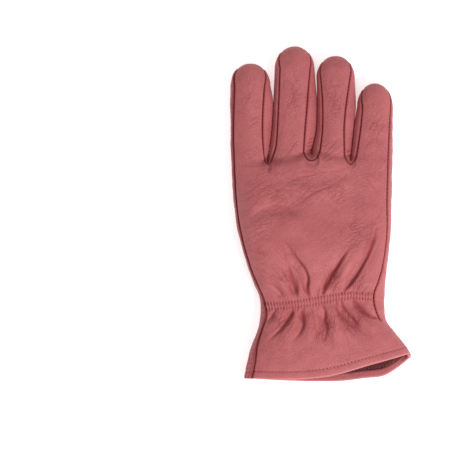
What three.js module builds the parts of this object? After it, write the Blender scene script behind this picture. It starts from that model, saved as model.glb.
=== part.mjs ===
// A right-hand leather work glove, lying flat on its palm with its thumb folded under the hand.
// It is sewn from a back panel, a palm panel that laps round both sides of the hand, three forked
// fourchettes between the fingers and a thumb, and an elastic tape gathers the back at the wrist.
// Millimetres. X runs from the index finger side to the little finger side, Y from the cuff to the
// fingertips and Z up from the surface that the glove lies on.
import * as THREE from "three";

const LEATHER = 1.2; // thickness of one layer
const HEM_LEATHER = 2.2; // the turned hem is two pressed layers
const SEAM_GAP = 0.3; // between the edges of two panels
const TAPE = { thickness: 0.8, gap: 0.3, trim: 2 }; // wrist elastic, trimmed by columns at each end
const LEATHER_COLOUR = 0xb96468;
const TAPE_COLOUR = 0xc9777a;

// How finely the leather is divided.
const FINGER_COLUMNS = 7;
const PALM_FINGER_COLUMNS = 4;
const GAP_COLUMNS = 2;
const WALL_COLUMNS = 3;
const FOURCHETTE_COLUMNS = 4;
const FINGER_STEPS = [0, 0.2, 0.42, 0.66, 1];
const TIP_ANGLES = [28, 50, 70, 90];

// The palm turns up from the surface over a short way, the back rolls over a longer one.
const UNDER_TURN = 7;
const UNDER_INSET = 4.2;
const SEAM_END_ANGLE = 50; // how far round the fingertip the fourchettes reach
const TIP_FLAT = 2.2; // half the width of the closing seam at a fingertip

// The two outer sides of the hand: the outermost line and the seam of the back panel.
const INDEX_SIDE = [
  { y: -117.7, edge: -54.9, seam: -49.6 },
  { y: -105.7, edge: -52.8, seam: -47.3 },
  { y: -94.2, edge: -49.3, seam: -45.8 },
  { y: -82.8, edge: -44.6, seam: -42.3 },
  { y: -71.4, edge: -42.8, seam: -39.2 },
  { y: -60.0, edge: -43.6, seam: -41.4 },
  { y: -48.6, edge: -47.8, seam: -46.3 },
  { y: -37.1, edge: -52.1, seam: -50.8 },
  { y: -14.3, edge: -58.5, seam: -57.1 },
  { y: 10.0, edge: -62.1, seam: -60.6 },
  { y: 40.0, edge: -63.8, seam: -62.3 },
];
const LITTLE_SIDE = [
  { y: -100.0, edge: 64.3, seam: 62.9 },
  { y: -94.2, edge: 60.9, seam: 59.5 },
  { y: -84.0, edge: 52.6, seam: 51.0 },
  { y: -76.0, edge: 46.8, seam: 43.8 },
  { y: -65.7, edge: 45.7, seam: 39.4 },
  { y: -57.0, edge: 45.6, seam: 38.4 },
  { y: -48.6, edge: 46.3, seam: 40.9 },
  { y: -37.1, edge: 47.4, seam: 44.2 },
  { y: -14.3, edge: 50.0, seam: 47.2 },
  { y: 10.0, edge: 50.7, seam: 47.3 },
  { y: 42.0, edge: 51.4, seam: 48.2 },
];

// The form of the hand along its length: the height of the outermost line, how far the back rises
// above it, and how far in from the side the back is still rounded.
const FORM = [
  { y: -120, mid: 8.5, rise: 9.5, turn: 22 },
  { y: -104, mid: 8.5, rise: 11, turn: 20 },
  { y: -86, mid: 8.0, rise: 12, turn: 17 },
  { y: -64, mid: 7.0, rise: 9.5, turn: 15 },
  { y: -48, mid: 8.0, rise: 12.5, turn: 19 },
  { y: -15, mid: 9.0, rise: 13.5, turn: 23 },
  { y: 15, mid: 8.5, rise: 12, turn: 20 },
  { y: 40, mid: 8.0, rise: 9.5, turn: 14 },
];

// Lines across the hand from the cuff to the knuckles: y at five even places from the index side to
// the little finger side, the rows of leather up to the next line, and the share of the drop by
// which the palm side of the mouth hangs below the back.
const LEVELS = [
  { name: "mouth", y: [-117.7, -118.2, -115.7, -107.7, -99.8], rows: 1, drop: 1, hem: true },
  { name: "hem", y: [-112.6, -112.9, -110.2, -102.6, -95.2], rows: 1, drop: 0.9, hem: true },
  { name: "hem_stitch", y: [-111.8, -112.1, -109.4, -101.8, -94.4], rows: 3, drop: 0.85 },
  { name: "cuff", y: [-88, -88.5, -86, -80.5, -76], rows: 3, drop: 0.2 },
  { name: "band_lower", y: [-67.6, -66.7, -63.6, -60.3, -60.8], rows: 1, drop: 0 },
  { name: "band_upper", y: [-64, -62.9, -59.6, -56.6, -57.4], rows: 4, drop: 0 },
  { name: "heel", y: [-40, -39, -36, -34, -34], rows: 6, drop: 0 },
  { name: "knuckles", y: [16, 16, 17, 17, 17], rows: 3, drop: 0 },
];
const MOUTH_DROP = [0.4, 0.7, 1.3, 2.5, 4.3, 7.4, 10.0, 11.9, 7.0];
const KNUCKLE_BLEND = { back: 0, palm: 0.3 }; // where the hand starts to turn into four fingers

// A finger's two sides from its base to its shoulder, where the rounded tip of the stated length begins.
const FINGERS = [
  {
    name: "index",
    tip: { x: -50.3, y: 107.8, length: 15.7 },
    left: [
      { y: 40.0, edge: -63.8, seam: -62.3 },
      { y: 60.0, edge: -64.3, seam: -62.8 },
      { y: 92.1, edge: -64.3, seam: -61.9 },
    ],
    right: [
      { y: 38.5, edge: -38.5, seam: -39.9 },
      { y: 47.0, edge: -37.3, seam: -40.9 },
      { y: 60.0, edge: -35.6, seam: -41.7 },
      { y: 77.1, edge: -34.6, seam: -41.2 },
      { y: 92.1, edge: -36.1, seam: -40.0 },
    ],
  },
  {
    name: "middle",
    tip: { x: -18.6, y: 120.0, length: 15.7 },
    left: [
      { y: 38.5, edge: -37.5, seam: -35.4 },
      { y: 47.0, edge: -36.3, seam: -32.6 },
      { y: 60.0, edge: -34.6, seam: -31.5 },
      { y: 77.1, edge: -33.6, seam: -30.7 },
      { y: 104.3, edge: -33.0, seam: -29.6 },
    ],
    right: [
      { y: 45.4, edge: -6.9, seam: -12.2 },
      { y: 60.0, edge: -3.9, seam: -11.4 },
      { y: 77.1, edge: -3.3, seam: -9.9 },
      { y: 104.3, edge: -4.6, seam: -7.4 },
    ],
  },
  {
    name: "ring",
    tip: { x: 10.7, y: 113.2, length: 15.7 },
    left: [
      { y: 45.4, edge: -5.9, seam: -1.2 },
      { y: 60.0, edge: -2.9, seam: 0.6 },
      { y: 77.1, edge: -2.3, seam: 0.8 },
      { y: 97.5, edge: -3.0, seam: -0.7 },
    ],
    right: [
      { y: 41.5, edge: 21.0, seam: 17.0 },
      { y: 60.0, edge: 22.8, seam: 16.6 },
      { y: 77.1, edge: 24.8, seam: 18.0 },
      { y: 97.5, edge: 24.3, seam: 20.9 },
    ],
  },
  {
    name: "little",
    tip: { x: 38.6, y: 93.5, length: 16.4 },
    left: [
      { y: 41.5, edge: 22.0, seam: 25.0 },
      { y: 60.0, edge: 24.1, seam: 27.8 },
      { y: 77.1, edge: 26.2, seam: 29.3 },
    ],
    right: [
      { y: 42.0, edge: 51.4, seam: 48.2 },
      { y: 60.0, edge: 51.6, seam: 49.0 },
      { y: 77.1, edge: 51.5, seam: 49.9 },
    ],
  },
];

// The crotches between neighbouring fingers: how far the seam of the back, the crease between the
// walls and the seam of the palm run below the fingers' base line.
const CROTCHES = [
  { name: "index_middle", back: 3.5, crease: 2.2, palm: 4.0 },
  { name: "middle_ring", back: 6.0, crease: 2.8, palm: 5.0 },
  { name: "ring_little", back: 6.2, crease: 2.6, palm: 5.0 },
];
const CROTCH_SAG = 0.8; // how far the seam dips at the bottom of a crotch

// Gathers fan out from the elastic: each valley starts at the band and fades towards its end.
const GATHERS = [
  { start: [-27.5, -60], bend: [-33, -51], end: [-43, -44], depth: 1.8, near: 2.4, far: 4.5 },
  { start: [-18.0, -58.5], bend: [-21.5, -46], end: [-27, -28], depth: 3.6, near: 2.6, far: 6.5 },
  { start: [-9.5, -57.5], bend: [-11.5, -42], end: [-28, -16], depth: 2.8, near: 2.4, far: 5.5 },
  { start: [1.0, -55.5], bend: [10.5, -41], end: [18.5, -22], depth: 3.6, near: 2.4, far: 4.5 },
  { start: [16.5, -53.5], bend: [28, -36], end: [39.5, -14], depth: 3.8, near: 2.4, far: 5.0 },
  { start: [-33.0, -70.5], bend: [-36, -75], end: [-41, -80], depth: 1.8, near: 2.2, far: 4.0 },
  { start: [-20.0, -69], bend: [-25, -76], end: [-41, -95], depth: 3.6, near: 2.4, far: 5.0 },
  { start: [-13.5, -68.5], bend: [-12.5, -79], end: [-20, -95], depth: 2.8, near: 2.4, far: 4.5 },
  { start: [0.5, -67], bend: [0.5, -82], end: [5, -102], depth: 3.2, near: 2.8, far: 6.0 },
  { start: [11.0, -64.5], bend: [18, -76], end: [38, -95], depth: 3.8, near: 2.6, far: 6.0 },
  { start: [23.0, -62], bend: [28, -71.5], end: [44, -77], depth: 3.4, near: 2.4, far: 3.6 },
];
const GATHER_AT_BAND = 0.35; // share of a valley's depth left where the stitches hold it

// Broad dents of the back: centre, half sizes along and across, turn from X in degrees, depth.
const DENTS = [
  { x: -28, y: 4, along: 34, across: 9, turn: 32, depth: 2.0 },
  { x: 14, y: 12, along: 30, across: 8, turn: 8, depth: 1.2 },
  { x: 33, y: -4, along: 22, across: 8, turn: 70, depth: 1.2 },
];

// The thumb is sewn to an oval hole in the palm, folded forward and laid under the hand. The palm
// rises over it, and the back a little less.
const HOLE = { x: -31.5, y: -34, across: 12.5, along: 23, lean: -16, reach: 1.6 };
const THUMB_LINE = [[-33, -36], [-38, -13], [-13, 25]];
const PALM_LIFT = { height: 13.2, full: 14, none: 29, sides: 14 };
const BACK_LIFT = { height: 4.5, full: 8, none: 46 };
const WALL_LIFT = 0.38; // share of the palm's lift that reaches the outermost line
const THUMB_LEAN = 36; // degrees from Y towards the little finger
const THUMB_FLOOR = 0.4; // how far each section is pressed flat where it lies on the surface
const THUMB = [
  { advance: 2, tilt: 21, across: 15.5, through: 17.0, top: 12.6 },
  { advance: 5, tilt: 32, across: 15.5, through: 11.4, top: 12.2 },
  { advance: 9.5, tilt: 50, across: 15.5, through: 7.9, top: 11.9 },
  { advance: 15, tilt: 72, across: 15.5, through: 6.3, top: 11.7 },
  { advance: 22, tilt: 90, across: 15.0, through: 6.0, top: 11.6 },
  { advance: 32, tilt: 90, across: 14.2, through: 5.9, top: 11.4 },
  { advance: 41, tilt: 90, across: 12.6, through: 5.6, top: 10.8 },
  { advance: 47, tilt: 90, across: 9.6, through: 4.8, top: 9.6 },
  { advance: 50.8, tilt: 90, across: 5.2, through: 3.2, top: 7.8 },
];
const THUMB_TIP = { advance: 52, z: 4.6 };
const THUMB_BEND = 26; // the thumb turns from the hole's lean to its own over this much advance

const radians = THREE.MathUtils.degToRad;
const lerp = THREE.MathUtils.lerp;
const clamp = THREE.MathUtils.clamp;
const smoothstep = THREE.MathUtils.smoothstep;

// A column of a table at any y, on a smooth curve through its rows.
function follow(rows, y, column) {
  const last = rows.length - 1;
  const at = clamp(y, rows[0].y, rows[last].y);
  const i = clamp(rows.findIndex((row) => row.y >= at), 1, last);
  const slope = (j) => {
    const a = rows[Math.max(j - 1, 0)];
    const b = rows[Math.min(j + 1, last)];
    return (b[column] - a[column]) / (b.y - a.y);
  };
  const step = rows[i].y - rows[i - 1].y;
  const t = (at - rows[i - 1].y) / step;
  return (
    rows[i - 1][column] * (1 - t) ** 2 * (1 + 2 * t) +
    rows[i][column] * t ** 2 * (3 - 2 * t) +
    step * t * (1 - t) * (slope(i - 1) * (1 - t) - slope(i) * t)
  );
}

// A value between even places across the hand.
function across(values, share) {
  return follow(values.map((value, i) => ({ y: i / (values.length - 1), value })), share, "value");
}

// Height of a rounded edge at a distance from it, from 0 at the edge to 1 where the turn ends.
function rounded(distance, turn) {
  const rest = 1 - clamp(distance / turn, 0, 1);
  return Math.sqrt(1 - rest * rest);
}

// The distance from a line of short pieces, and how far along it the nearest point is, as a share.
function nearestOn(line, x, y) {
  const point = new THREE.Vector2(x, y);
  let best = { distance: Infinity, along: 0 };
  for (let i = 1; i < line.length; i++) {
    const piece = line[i].clone().sub(line[i - 1]);
    const t = clamp(point.clone().sub(line[i - 1]).dot(piece) / piece.lengthSq(), 0, 1);
    const distance = line[i - 1].clone().addScaledVector(piece, t).distanceTo(point);
    if (distance < best.distance) best = { distance, along: (i - 1 + t) / (line.length - 1) };
  }
  return best;
}

// How near a point is to the thumb, from 1 over it to 0 well away from it.
const THUMB_PATH = THUMB_LINE.map(([x, y]) => new THREE.Vector2(x, y));
function overThumb({ full, none }, x, y) {
  return 1 - smoothstep(nearestOn(THUMB_PATH, x, y).distance, full, none);
}
const inwardOf = (x, y) => Math.min(x - follow(INDEX_SIDE, y, "edge"), follow(LITTLE_SIDE, y, "edge") - x);
const wallLift = (x, y) => WALL_LIFT * PALM_LIFT.height * overThumb(PALM_LIFT, x, y);
const palmLift = (x, y) =>
  PALM_LIFT.height * overThumb(PALM_LIFT, x, y) * rounded(inwardOf(x, y), PALM_LIFT.sides);
const backLift = (x, y) => BACK_LIFT.height * overThumb(BACK_LIFT, x, y);

// Each gather's valley as a bent line of short pieces.
const VALLEYS = GATHERS.map((gather) => {
  const [start, bend, end] = [gather.start, gather.bend, gather.end].map(([x, y]) => new THREE.Vector2(x, y));
  return { ...gather, line: new THREE.QuadraticBezierCurve(start, bend, end).getPoints(8) };
});

function valleyDepth({ line, depth, near, far }, x, y) {
  const best = nearestOn(line, x, y);
  const width = lerp(near, far, best.along);
  const open = lerp(GATHER_AT_BAND, 1, smoothstep(best.along, 0, 0.2));
  return depth * open * (1 - smoothstep(best.along, 0.35, 1)) * Math.exp(-((best.distance / width) ** 2));
}

function dentDepth({ x: cx, y: cy, along, across: width, turn, depth }, x, y) {
  const [c, s] = [Math.cos(radians(turn)), Math.sin(radians(turn))];
  const u = ((x - cx) * c + (y - cy) * s) / along;
  const v = ((y - cy) * c - (x - cx) * s) / width;
  return depth * Math.exp(-(u * u + v * v));
}

// The hand's back and palm as heights over the surface.
function backHeight(x, y) {
  const rim = follow(FORM, y, "mid") + wallLift(x, y);
  const top = follow(FORM, y, "mid") + follow(FORM, y, "rise") + backLift(x, y);
  return lerp(rim, top, rounded(inwardOf(x, y), follow(FORM, y, "turn")));
}
function sunk(x, y) {
  const sum = [...VALLEYS.map((v) => valleyDepth(v, x, y)), ...DENTS.map((d) => dentDepth(d, x, y))];
  return sum.reduce((a, b) => a + b, 0) * rounded(inwardOf(x, y), 12);
}
function palmHeight(x, y) {
  return follow(FORM, y, "mid") * (1 - rounded(inwardOf(x, y), UNDER_TURN)) + palmLift(x, y);
}

// The leather as one skin of welded points. Each face belongs to a panel, and the panels are cut
// apart along their seams afterwards.
class Skin {
  points = [];
  thickness = [];
  faces = [];
  found = new Map();

  add(point, thickness = LEATHER) {
    const key = point.toArray().map((v) => Math.round(v * 1e4)).join();
    if (!this.found.has(key)) {
      this.found.set(key, this.points.length);
      this.points.push(point.clone());
      this.thickness.push(thickness);
    }
    return this.found.get(key);
  }

  // A quad from four point numbers, counter-clockwise seen from outside the glove.
  quad(panel, a, b, c, d) {
    for (const [i, j, k] of [[a, b, c], [a, c, d]]) {
      if (i !== j && j !== k && k !== i) this.faces.push({ panel, corners: [i, j, k] });
    }
  }

  // Neighbouring rows of point numbers become quads; skipped says which cells stay open.
  sheet(panel, rows, skipped = () => false) {
    for (let r = 1; r < rows.length; r++) {
      for (let c = 1; c < rows[r].length; c++) {
        if (skipped(r, c)) continue;
        this.quad(panel, rows[r - 1][c - 1], rows[r - 1][c], rows[r][c], rows[r][c - 1]);
      }
    }
  }

  findNormals() {
    this.normals = this.points.map(() => new THREE.Vector3());
    for (const { corners } of this.faces) {
      const [a, b, c] = corners.map((i) => this.points[i]);
      const normal = b.clone().sub(a).cross(c.clone().sub(a)).normalize();
      for (let k = 0; k < 3; k++) {
        const [p, q, r] = [0, 1, 2].map((step) => this.points[corners[(k + step) % 3]]);
        const angle = q.clone().sub(p).angleTo(r.clone().sub(p));
        this.normals[corners[k]].addScaledVector(normal, angle);
      }
    }
    this.normals.forEach((normal) => normal.normalize());
  }

  // One panel as a closed solid: the outer faces, the same faces a leather's thickness inside, and
  // the cut edge between them, drawn back from the seam by half the gap.
  panelGeometry(panel) {
    const corners = this.faces.filter((face) => face.panel === panel).map((face) => face.corners);
    const edges = new Map();
    for (const [a, b, c] of corners) {
      for (const [from, to] of [[a, b], [b, c], [c, a]]) {
        if (!edges.delete(`${to},${from}`)) edges.set(`${from},${to}`, [from, to]);
      }
    }
    const along = new Map();
    for (const [from, to] of edges.values()) {
      const step = this.points[to].clone().sub(this.points[from]).normalize();
      for (const i of [from, to]) along.set(i, (along.get(i) ?? new THREE.Vector3()).add(step));
    }
    const outer = (i) => {
      const point = this.points[i].clone();
      if (!along.has(i)) return point;
      const inward = this.normals[i].clone().cross(along.get(i)).normalize();
      return point.addScaledVector(inward, SEAM_GAP / 2);
    };
    const inner = (i) => outer(i).addScaledVector(this.normals[i], -this.thickness[i]);
    const triangles = [];
    for (const [a, b, c] of corners) {
      triangles.push(outer(a), outer(b), outer(c), inner(a), inner(c), inner(b));
    }
    for (const [from, to] of edges.values()) {
      triangles.push(outer(to), outer(from), inner(from), outer(to), inner(from), inner(to));
    }
    return closedGeometry(triangles);
  }
}

function closedGeometry(triangles) {
  const geometry = new THREE.BufferGeometry().setFromPoints(triangles);
  geometry.computeVertexNormals();
  return geometry;
}

// Points of a side wall: share 1 is the back's seam, 0 the outermost line and -1 the palm's seam.
function wallPoint(wall, share) {
  const end = share >= 0 ? wall.back : wall.palm;
  const turn = share >= 0 ? wall.turn : UNDER_TURN;
  const run = Math.hypot(end.x - wall.edge.x, end.y - wall.edge.y);
  const whole = Math.acos(1 - clamp(run / turn, 0.02, 1));
  const angle = whole * Math.abs(share);
  const level = (1 - Math.cos(angle)) / (1 - Math.cos(whole));
  const height = Math.sin(angle) / Math.sin(whole);
  return new THREE.Vector3(
    lerp(wall.edge.x, end.x, level),
    lerp(wall.edge.y, end.y, level),
    lerp(wall.edge.z, end.z, height),
  );
}

// One section of a finger. Up to the shoulder a step is a share of the way; past it, an angle.
function fingerSection(finger, share, angle = 0) {
  const round = Math.cos(radians(angle));
  const beyond = finger.tip.length * Math.sin(radians(angle));
  const sides = ["left", "right"].map((name) => {
    const rows = finger[name];
    const base = rows[0].y;
    const shoulder = rows[rows.length - 1].y;
    const y = lerp(base, shoulder, share);
    const edge = follow(rows, y, "edge");
    const inset = follow(rows, y, "seam") - edge;
    const kept = clamp(1 - angle / SEAM_END_ANGLE, 0, 1);
    const x = lerp(finger.tip.x, edge, round);
    return { x, y: y + beyond, seam: x + inset * round * kept };
  });
  const [left, right] = sides;
  const middle = (left.x + right.x) / 2;
  const half = (right.x - left.x) / 2;
  const at = (x) => {
    const y = lerp(left.y, right.y, (x - left.x) / (2 * half));
    return { y, mid: follow(FORM, y, "mid"), rise: follow(FORM, y, "rise") };
  };
  const back = (x) => {
    const { y, mid, rise } = at(x);
    return new THREE.Vector3(x, y, mid + rise * round * rounded(half - Math.abs(x - middle), half));
  };
  const palm = (x) => {
    const { y, mid } = at(x);
    const flat = rounded(half - Math.abs(x - middle), Math.min(UNDER_TURN, half));
    return new THREE.Vector3(x, y, mid * (1 - flat * Math.sqrt(round)));
  };
  const insets = sides.map((side) => {
    const past = angle >= SEAM_END_ANGLE ? 0 : 1 - angle / SEAM_END_ANGLE;
    return side.x + Math.sign(middle - side.x) * Math.min(UNDER_INSET, 0.35 * half) * past;
  });
  const spread = (from, to, count, place) =>
    Array.from({ length: count + 1 }, (_, i) => place(lerp(from, to, i / count)));
  const edges = sides.map((side) => new THREE.Vector3(side.x, side.y, at(side.x).mid));
  return {
    back: spread(left.seam, right.seam, FINGER_COLUMNS, back),
    palm: spread(insets[0], insets[1], PALM_FINGER_COLUMNS, palm),
    edges,
    turn: half,
  };
}

// The short line that closes a fingertip, shared by the back and the palm.
function tipSection(finger) {
  const { x, y } = finger.tip;
  const z = follow(FORM, y, "mid");
  const spread = (count) =>
    Array.from({ length: count + 1 }, (_, i) =>
      new THREE.Vector3(x + TIP_FLAT * (Math.round((2 * i) / count) - 1), y, z));
  return { back: spread(FINGER_COLUMNS), palm: spread(PALM_FINGER_COLUMNS) };
}

const SECTIONS = FINGERS.map((finger) => [
  ...FINGER_STEPS.map((share) => fingerSection(finger, share)),
  ...TIP_ANGLES.slice(0, -1).map((angle) => fingerSection(finger, 1, angle)),
]);

// Points round the bottom of a crotch, from one finger's base to the next one's.
function crotchArc(from, to, depth, sag = 0) {
  return Array.from({ length: GAP_COLUMNS - 1 }, (_, i) => {
    const angle = (Math.PI * (i + 1)) / GAP_COLUMNS;
    const share = (1 - Math.cos(angle)) / 2;
    const point = from.clone().lerp(to, share);
    point.y -= depth * Math.sin(angle);
    point.z -= sag * Math.sin(angle);
    return point;
  });
}

// The base line of the four fingers, joined round the crotches, for the back or for the palm.
function baseLine(face) {
  return SECTIONS.flatMap(([base], i) => {
    const row = base[face];
    if (i === SECTIONS.length - 1) return row;
    const [from, to] = [row[row.length - 1], SECTIONS[i + 1][0][face][0]];
    return [...row, ...crotchArc(from, to, CROTCHES[i][face], face === "back" ? CROTCH_SAG : 0)];
  });
}

// The rows of the hand between the mouth and the fingers: the level each starts from and its share
// of the way to the next.
const ROWS = LEVELS.flatMap((level, i) =>
  Array.from({ length: level.rows }, (_, r) => ({ i, share: r / level.rows })),
);

// A row of the hand's back or palm at the given shares of the way across, blended into the base
// line of the fingers over the knuckles.
function handRow({ i, share }, base, face) {
  const drop = face === "palm" ? 1 : 0;
  const level = LEVELS[i];
  const next = LEVELS[i + 1];
  const first = base[0];
  const last = base[base.length - 1];
  const lineY = (line, place) => across(line.y, place) - drop * line.drop * across(MOUTH_DROP, place);
  const ends = [0, 1].map((place) => {
    const y = lerp(lineY(level, place), next ? lineY(next, place) : (place ? last.y : first.y), share);
    const [side, inward] = place ? [LITTLE_SIDE, -1] : [INDEX_SIDE, 1];
    const x = face === "back" ? follow(side, y, "seam") : follow(side, y, "edge") + inward * UNDER_INSET;
    return new THREE.Vector3(x, y, 0);
  });
  const blend = next ? 0 : smoothstep(share, KNUCKLE_BLEND[face], 1);
  return base.map((point) => {
    const place = (point.x - first.x) / (last.x - first.x);
    const x = lerp(ends[0].x, ends[1].x, place);
    const y = lerp(lineY(level, place), next ? lineY(next, place) : point.y, share);
    const height = face === "back" ? backHeight(x, y) - sunk(x, y) : palmHeight(x, y);
    return new THREE.Vector3(x, y, lerp(height, point.z, blend));
  });
}

// The outermost line at both ends of a row.
function handEdges(backRow, palmRow) {
  return [INDEX_SIDE, LITTLE_SIDE].map((side, end) => {
    const [back, palm] = [backRow, palmRow].map((row) => (end ? row[row.length - 1] : row[0]));
    const y = (back.y + palm.y) / 2;
    const x = follow(side, y, "edge");
    return new THREE.Vector3(x, y, follow(FORM, y, "mid") + wallLift(x, y));
  });
}

const backBase = baseLine("back");
const palmBase = baseLine("palm");
const backHand = [...ROWS.map((row) => handRow(row, backBase, "back")), backBase];
const palmFlat = [...ROWS.map((row) => handRow(row, palmBase, "palm")), palmBase];

// The block of palm cells that the thumb's hole takes, found from the places of its corners.
const nearest = (values, wanted) =>
  values.reduce((best, value, i) => (Math.abs(value - wanted) < Math.abs(values[best] - wanted) ? i : best), 0);
const holeRows = [HOLE.y - HOLE.along, HOLE.y + HOLE.along].map((y) =>
  nearest(palmFlat.map((row) => row[PALM_FINGER_COLUMNS].y), y));
const holeColumns = [HOLE.x - HOLE.across, HOLE.x + HOLE.across].map((x) =>
  nearest(palmFlat[Math.round((holeRows[0] + holeRows[1]) / 2)].map((point) => point.x), x));
const HOLE_MARGIN = { rows: [3, 3], columns: [holeColumns[0], 5] };

// Place of a row or column against the hole: -1 to 1 across it, and up to reach over the margin.
function holeShare(i, [low, high], [before, after]) {
  if (i < low) return -1 - (HOLE.reach - 1) * ((low - i) / before);
  if (i > high) return 1 + (HOLE.reach - 1) * ((i - high) / after);
  return (2 * (i - low)) / (high - low) - 1;
}

// Draws the grid round the hole into a leaning oval that fades into the straight rows further out.
function roundedHole(row, r) {
  const q = holeShare(r, holeRows, HOLE_MARGIN.rows);
  const [c, s] = [Math.cos(radians(HOLE.lean)), Math.sin(radians(HOLE.lean))];
  return row.map((point, column) => {
    const p = holeShare(column, holeColumns, HOLE_MARGIN.columns);
    const outside = Math.max(Math.abs(p), Math.abs(q));
    if (outside >= HOLE.reach || !outside) return point;
    const [u, v] = [p / outside, q / outside];
    const over = HOLE.across * outside * u * Math.sqrt(1 - (v * v) / 2);
    const up = HOLE.along * outside * v * Math.sqrt(1 - (u * u) / 2);
    const fade = smoothstep(outside, 1, HOLE.reach);
    const x = lerp(HOLE.x + over * c + up * s, point.x, fade);
    const y = lerp(HOLE.y + up * c - over * s, point.y, fade);
    return new THREE.Vector3(x, y, palmHeight(x, y));
  });
}
const inHole = (r, c) => r > holeRows[0] && r <= holeRows[1] && c > holeColumns[0] && c <= holeColumns[1];
const palmHand = palmFlat.map((row, r) => (r === palmFlat.length - 1 ? row : roundedHole(row, r)));

const skin = new Skin();
const thicknessOf = (r) => (r < ROWS.length && LEVELS[ROWS[r].i].hem ? HEM_LEATHER : LEATHER);
const backNumbers = backHand.map((row, r) => row.map((point) => skin.add(point, thicknessOf(r))));
const palmNumbers = palmHand.map((row, r) => row.map((point) => skin.add(point, thicknessOf(r))));

// The back: the hand, then each finger up to its tip.
function addBack() {
  skin.sheet("back_panel", backNumbers);
  SECTIONS.forEach((sections, i) => {
    const rows = [...sections, tipSection(FINGERS[i])].map((section) => section.back.map((p) => skin.add(p)));
    skin.sheet("back_panel", rows);
  });
}

// The palm faces down, so its rows are read from the little finger side.
function addPalm() {
  skin.sheet("palm_panel", palmNumbers.map((row) => row.toReversed()), (r, c) => inHole(r, row0Length - c));
  SECTIONS.forEach((sections, i) => {
    const rows = [...sections, tipSection(FINGERS[i])].map((section) => section.palm.map((p) => skin.add(p)));
    skin.sheet("palm_panel", rows.map((row) => row.toReversed()));
  });
}
const row0Length = palmNumbers[0].length;

// The palm panel's lap round one outer side of the hand, from the palm up to the back's seam.
function addLap(end) {
  const wallRow = (wall, thickness) =>
    Array.from({ length: WALL_COLUMNS + 1 }, (_, c) =>
      skin.add(wallPoint(wall, end ? 1 - (2 * c) / WALL_COLUMNS : (2 * c) / WALL_COLUMNS - 1), thickness));
  const finger = end ? SECTIONS.length - 1 : 0;
  const rows = [];
  backHand.slice(0, -1).forEach((row, r) => {
    const edge = handEdges(row, palmHand[r])[end];
    const pick = (line) => (end ? line[line.length - 1] : line[0]);
    const wall = { back: pick(row), edge, palm: pick(palmHand[r]), turn: follow(FORM, edge.y, "turn") };
    rows.push(wallRow(wall, thicknessOf(r)));
  });
  SECTIONS[finger].forEach((section) => {
    const pick = (line) => (end ? line[line.length - 1] : line[0]);
    const wall = { back: pick(section.back), edge: section.edges[end], palm: pick(section.palm), turn: section.turn };
    rows.push(wallRow(wall, LEATHER));
  });
  skin.sheet("palm_panel", rows);
}

// A fourchette runs down one finger's side, round the crotch and up the next finger's side.
function addFourchette(crotch, i) {
  const pick = (line, end) => (end ? line[line.length - 1] : line[0]);
  const wallOf = (section, end) => ({
    back: pick(section.back, end),
    edge: section.edges[end],
    palm: pick(section.palm, end),
    turn: section.turn,
  });
  const seamed = (sections) => sections.slice(0, FINGER_STEPS.length + 2);
  const down = seamed(SECTIONS[i]).map((section) => wallOf(section, 1)).toReversed();
  const up = seamed(SECTIONS[i + 1]).map((section) => wallOf(section, 0));
  const [from, to] = [down[down.length - 1], up[0]];
  const backs = crotchArc(from.back, to.back, crotch.back, CROTCH_SAG);
  const edges = crotchArc(from.edge, to.edge, crotch.crease);
  const palms = crotchArc(from.palm, to.palm, crotch.palm);
  const round = backs.map((back, k) => ({ back, edge: edges[k], palm: palms[k], turn: from.turn }));
  const rows = [...down, ...round, ...up].map((wall) =>
    Array.from({ length: FOURCHETTE_COLUMNS + 1 }, (_, c) =>
      skin.add(wallPoint(wall, (2 * c) / FOURCHETTE_COLUMNS - 1))));
  skin.sheet(`fourchette_${crotch.name}`, rows);
}

// The thumb: from the hole's rim round the fold and forward under the palm to its tip.
function addThumb() {
  const [r0, r1] = holeRows;
  const [c0, c1] = holeColumns;
  const rim = [];
  for (let c = c0; c < c1; c++) rim.push([r0, c]);
  for (let r = r0; r < r1; r++) rim.push([r, c1]);
  for (let c = c1; c > c0; c--) rim.push([r1, c]);
  for (let r = r1; r > r0; r--) rim.push([r, c0]);
  const [holeLean, lean] = [HOLE.lean, THUMB_LEAN].map(radians);
  const turns = rim.map(([r, c]) => {
    const point = new THREE.Vector2(palmHand[r][c].x, palmHand[r][c].y);
    point.rotateAround(new THREE.Vector2(HOLE.x, HOLE.y), holeLean);
    return Math.atan2((point.y - HOLE.y) / HOLE.along, (point.x - HOLE.x) / HOLE.across);
  });
  const forward = new THREE.Vector3(Math.sin(lean), Math.cos(lean), 0);
  const root = new THREE.Vector3(
    HOLE.x + HOLE.along * Math.sin(holeLean),
    HOLE.y + HOLE.along * Math.cos(holeLean),
    0,
  );
  const rings = [rim.map(([r, c]) => palmNumbers[r][c])];
  for (const { advance, tilt, across: half, through, top } of THUMB) {
    const turned = lerp(holeLean, lean, smoothstep(advance, 0, THUMB_BEND));
    const side = new THREE.Vector3(Math.cos(turned), -Math.sin(turned), 0);
    const ahead = new THREE.Vector3(Math.sin(turned), Math.cos(turned), 0);
    const upward = ahead.multiplyScalar(Math.cos(radians(tilt))).setZ(Math.sin(radians(tilt)));
    const centre = root.clone().addScaledVector(forward, advance).setZ(top).addScaledVector(upward, -through);
    rings.push(turns.map((turn) => {
      const point = centre.clone().addScaledVector(side, half * Math.cos(turn));
      point.addScaledVector(upward, through * Math.sin(turn));
      return skin.add(point.setZ(Math.max(point.z - THUMB_FLOOR, 0)));
    }));
  }
  const tip = root.clone().addScaledVector(forward, THUMB_TIP.advance).setZ(THUMB_TIP.z);
  rings.push(turns.map(() => skin.add(tip)));
  skin.sheet("thumb", rings.map((ring) => [...ring, ring[0]].toReversed()));
}

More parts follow.
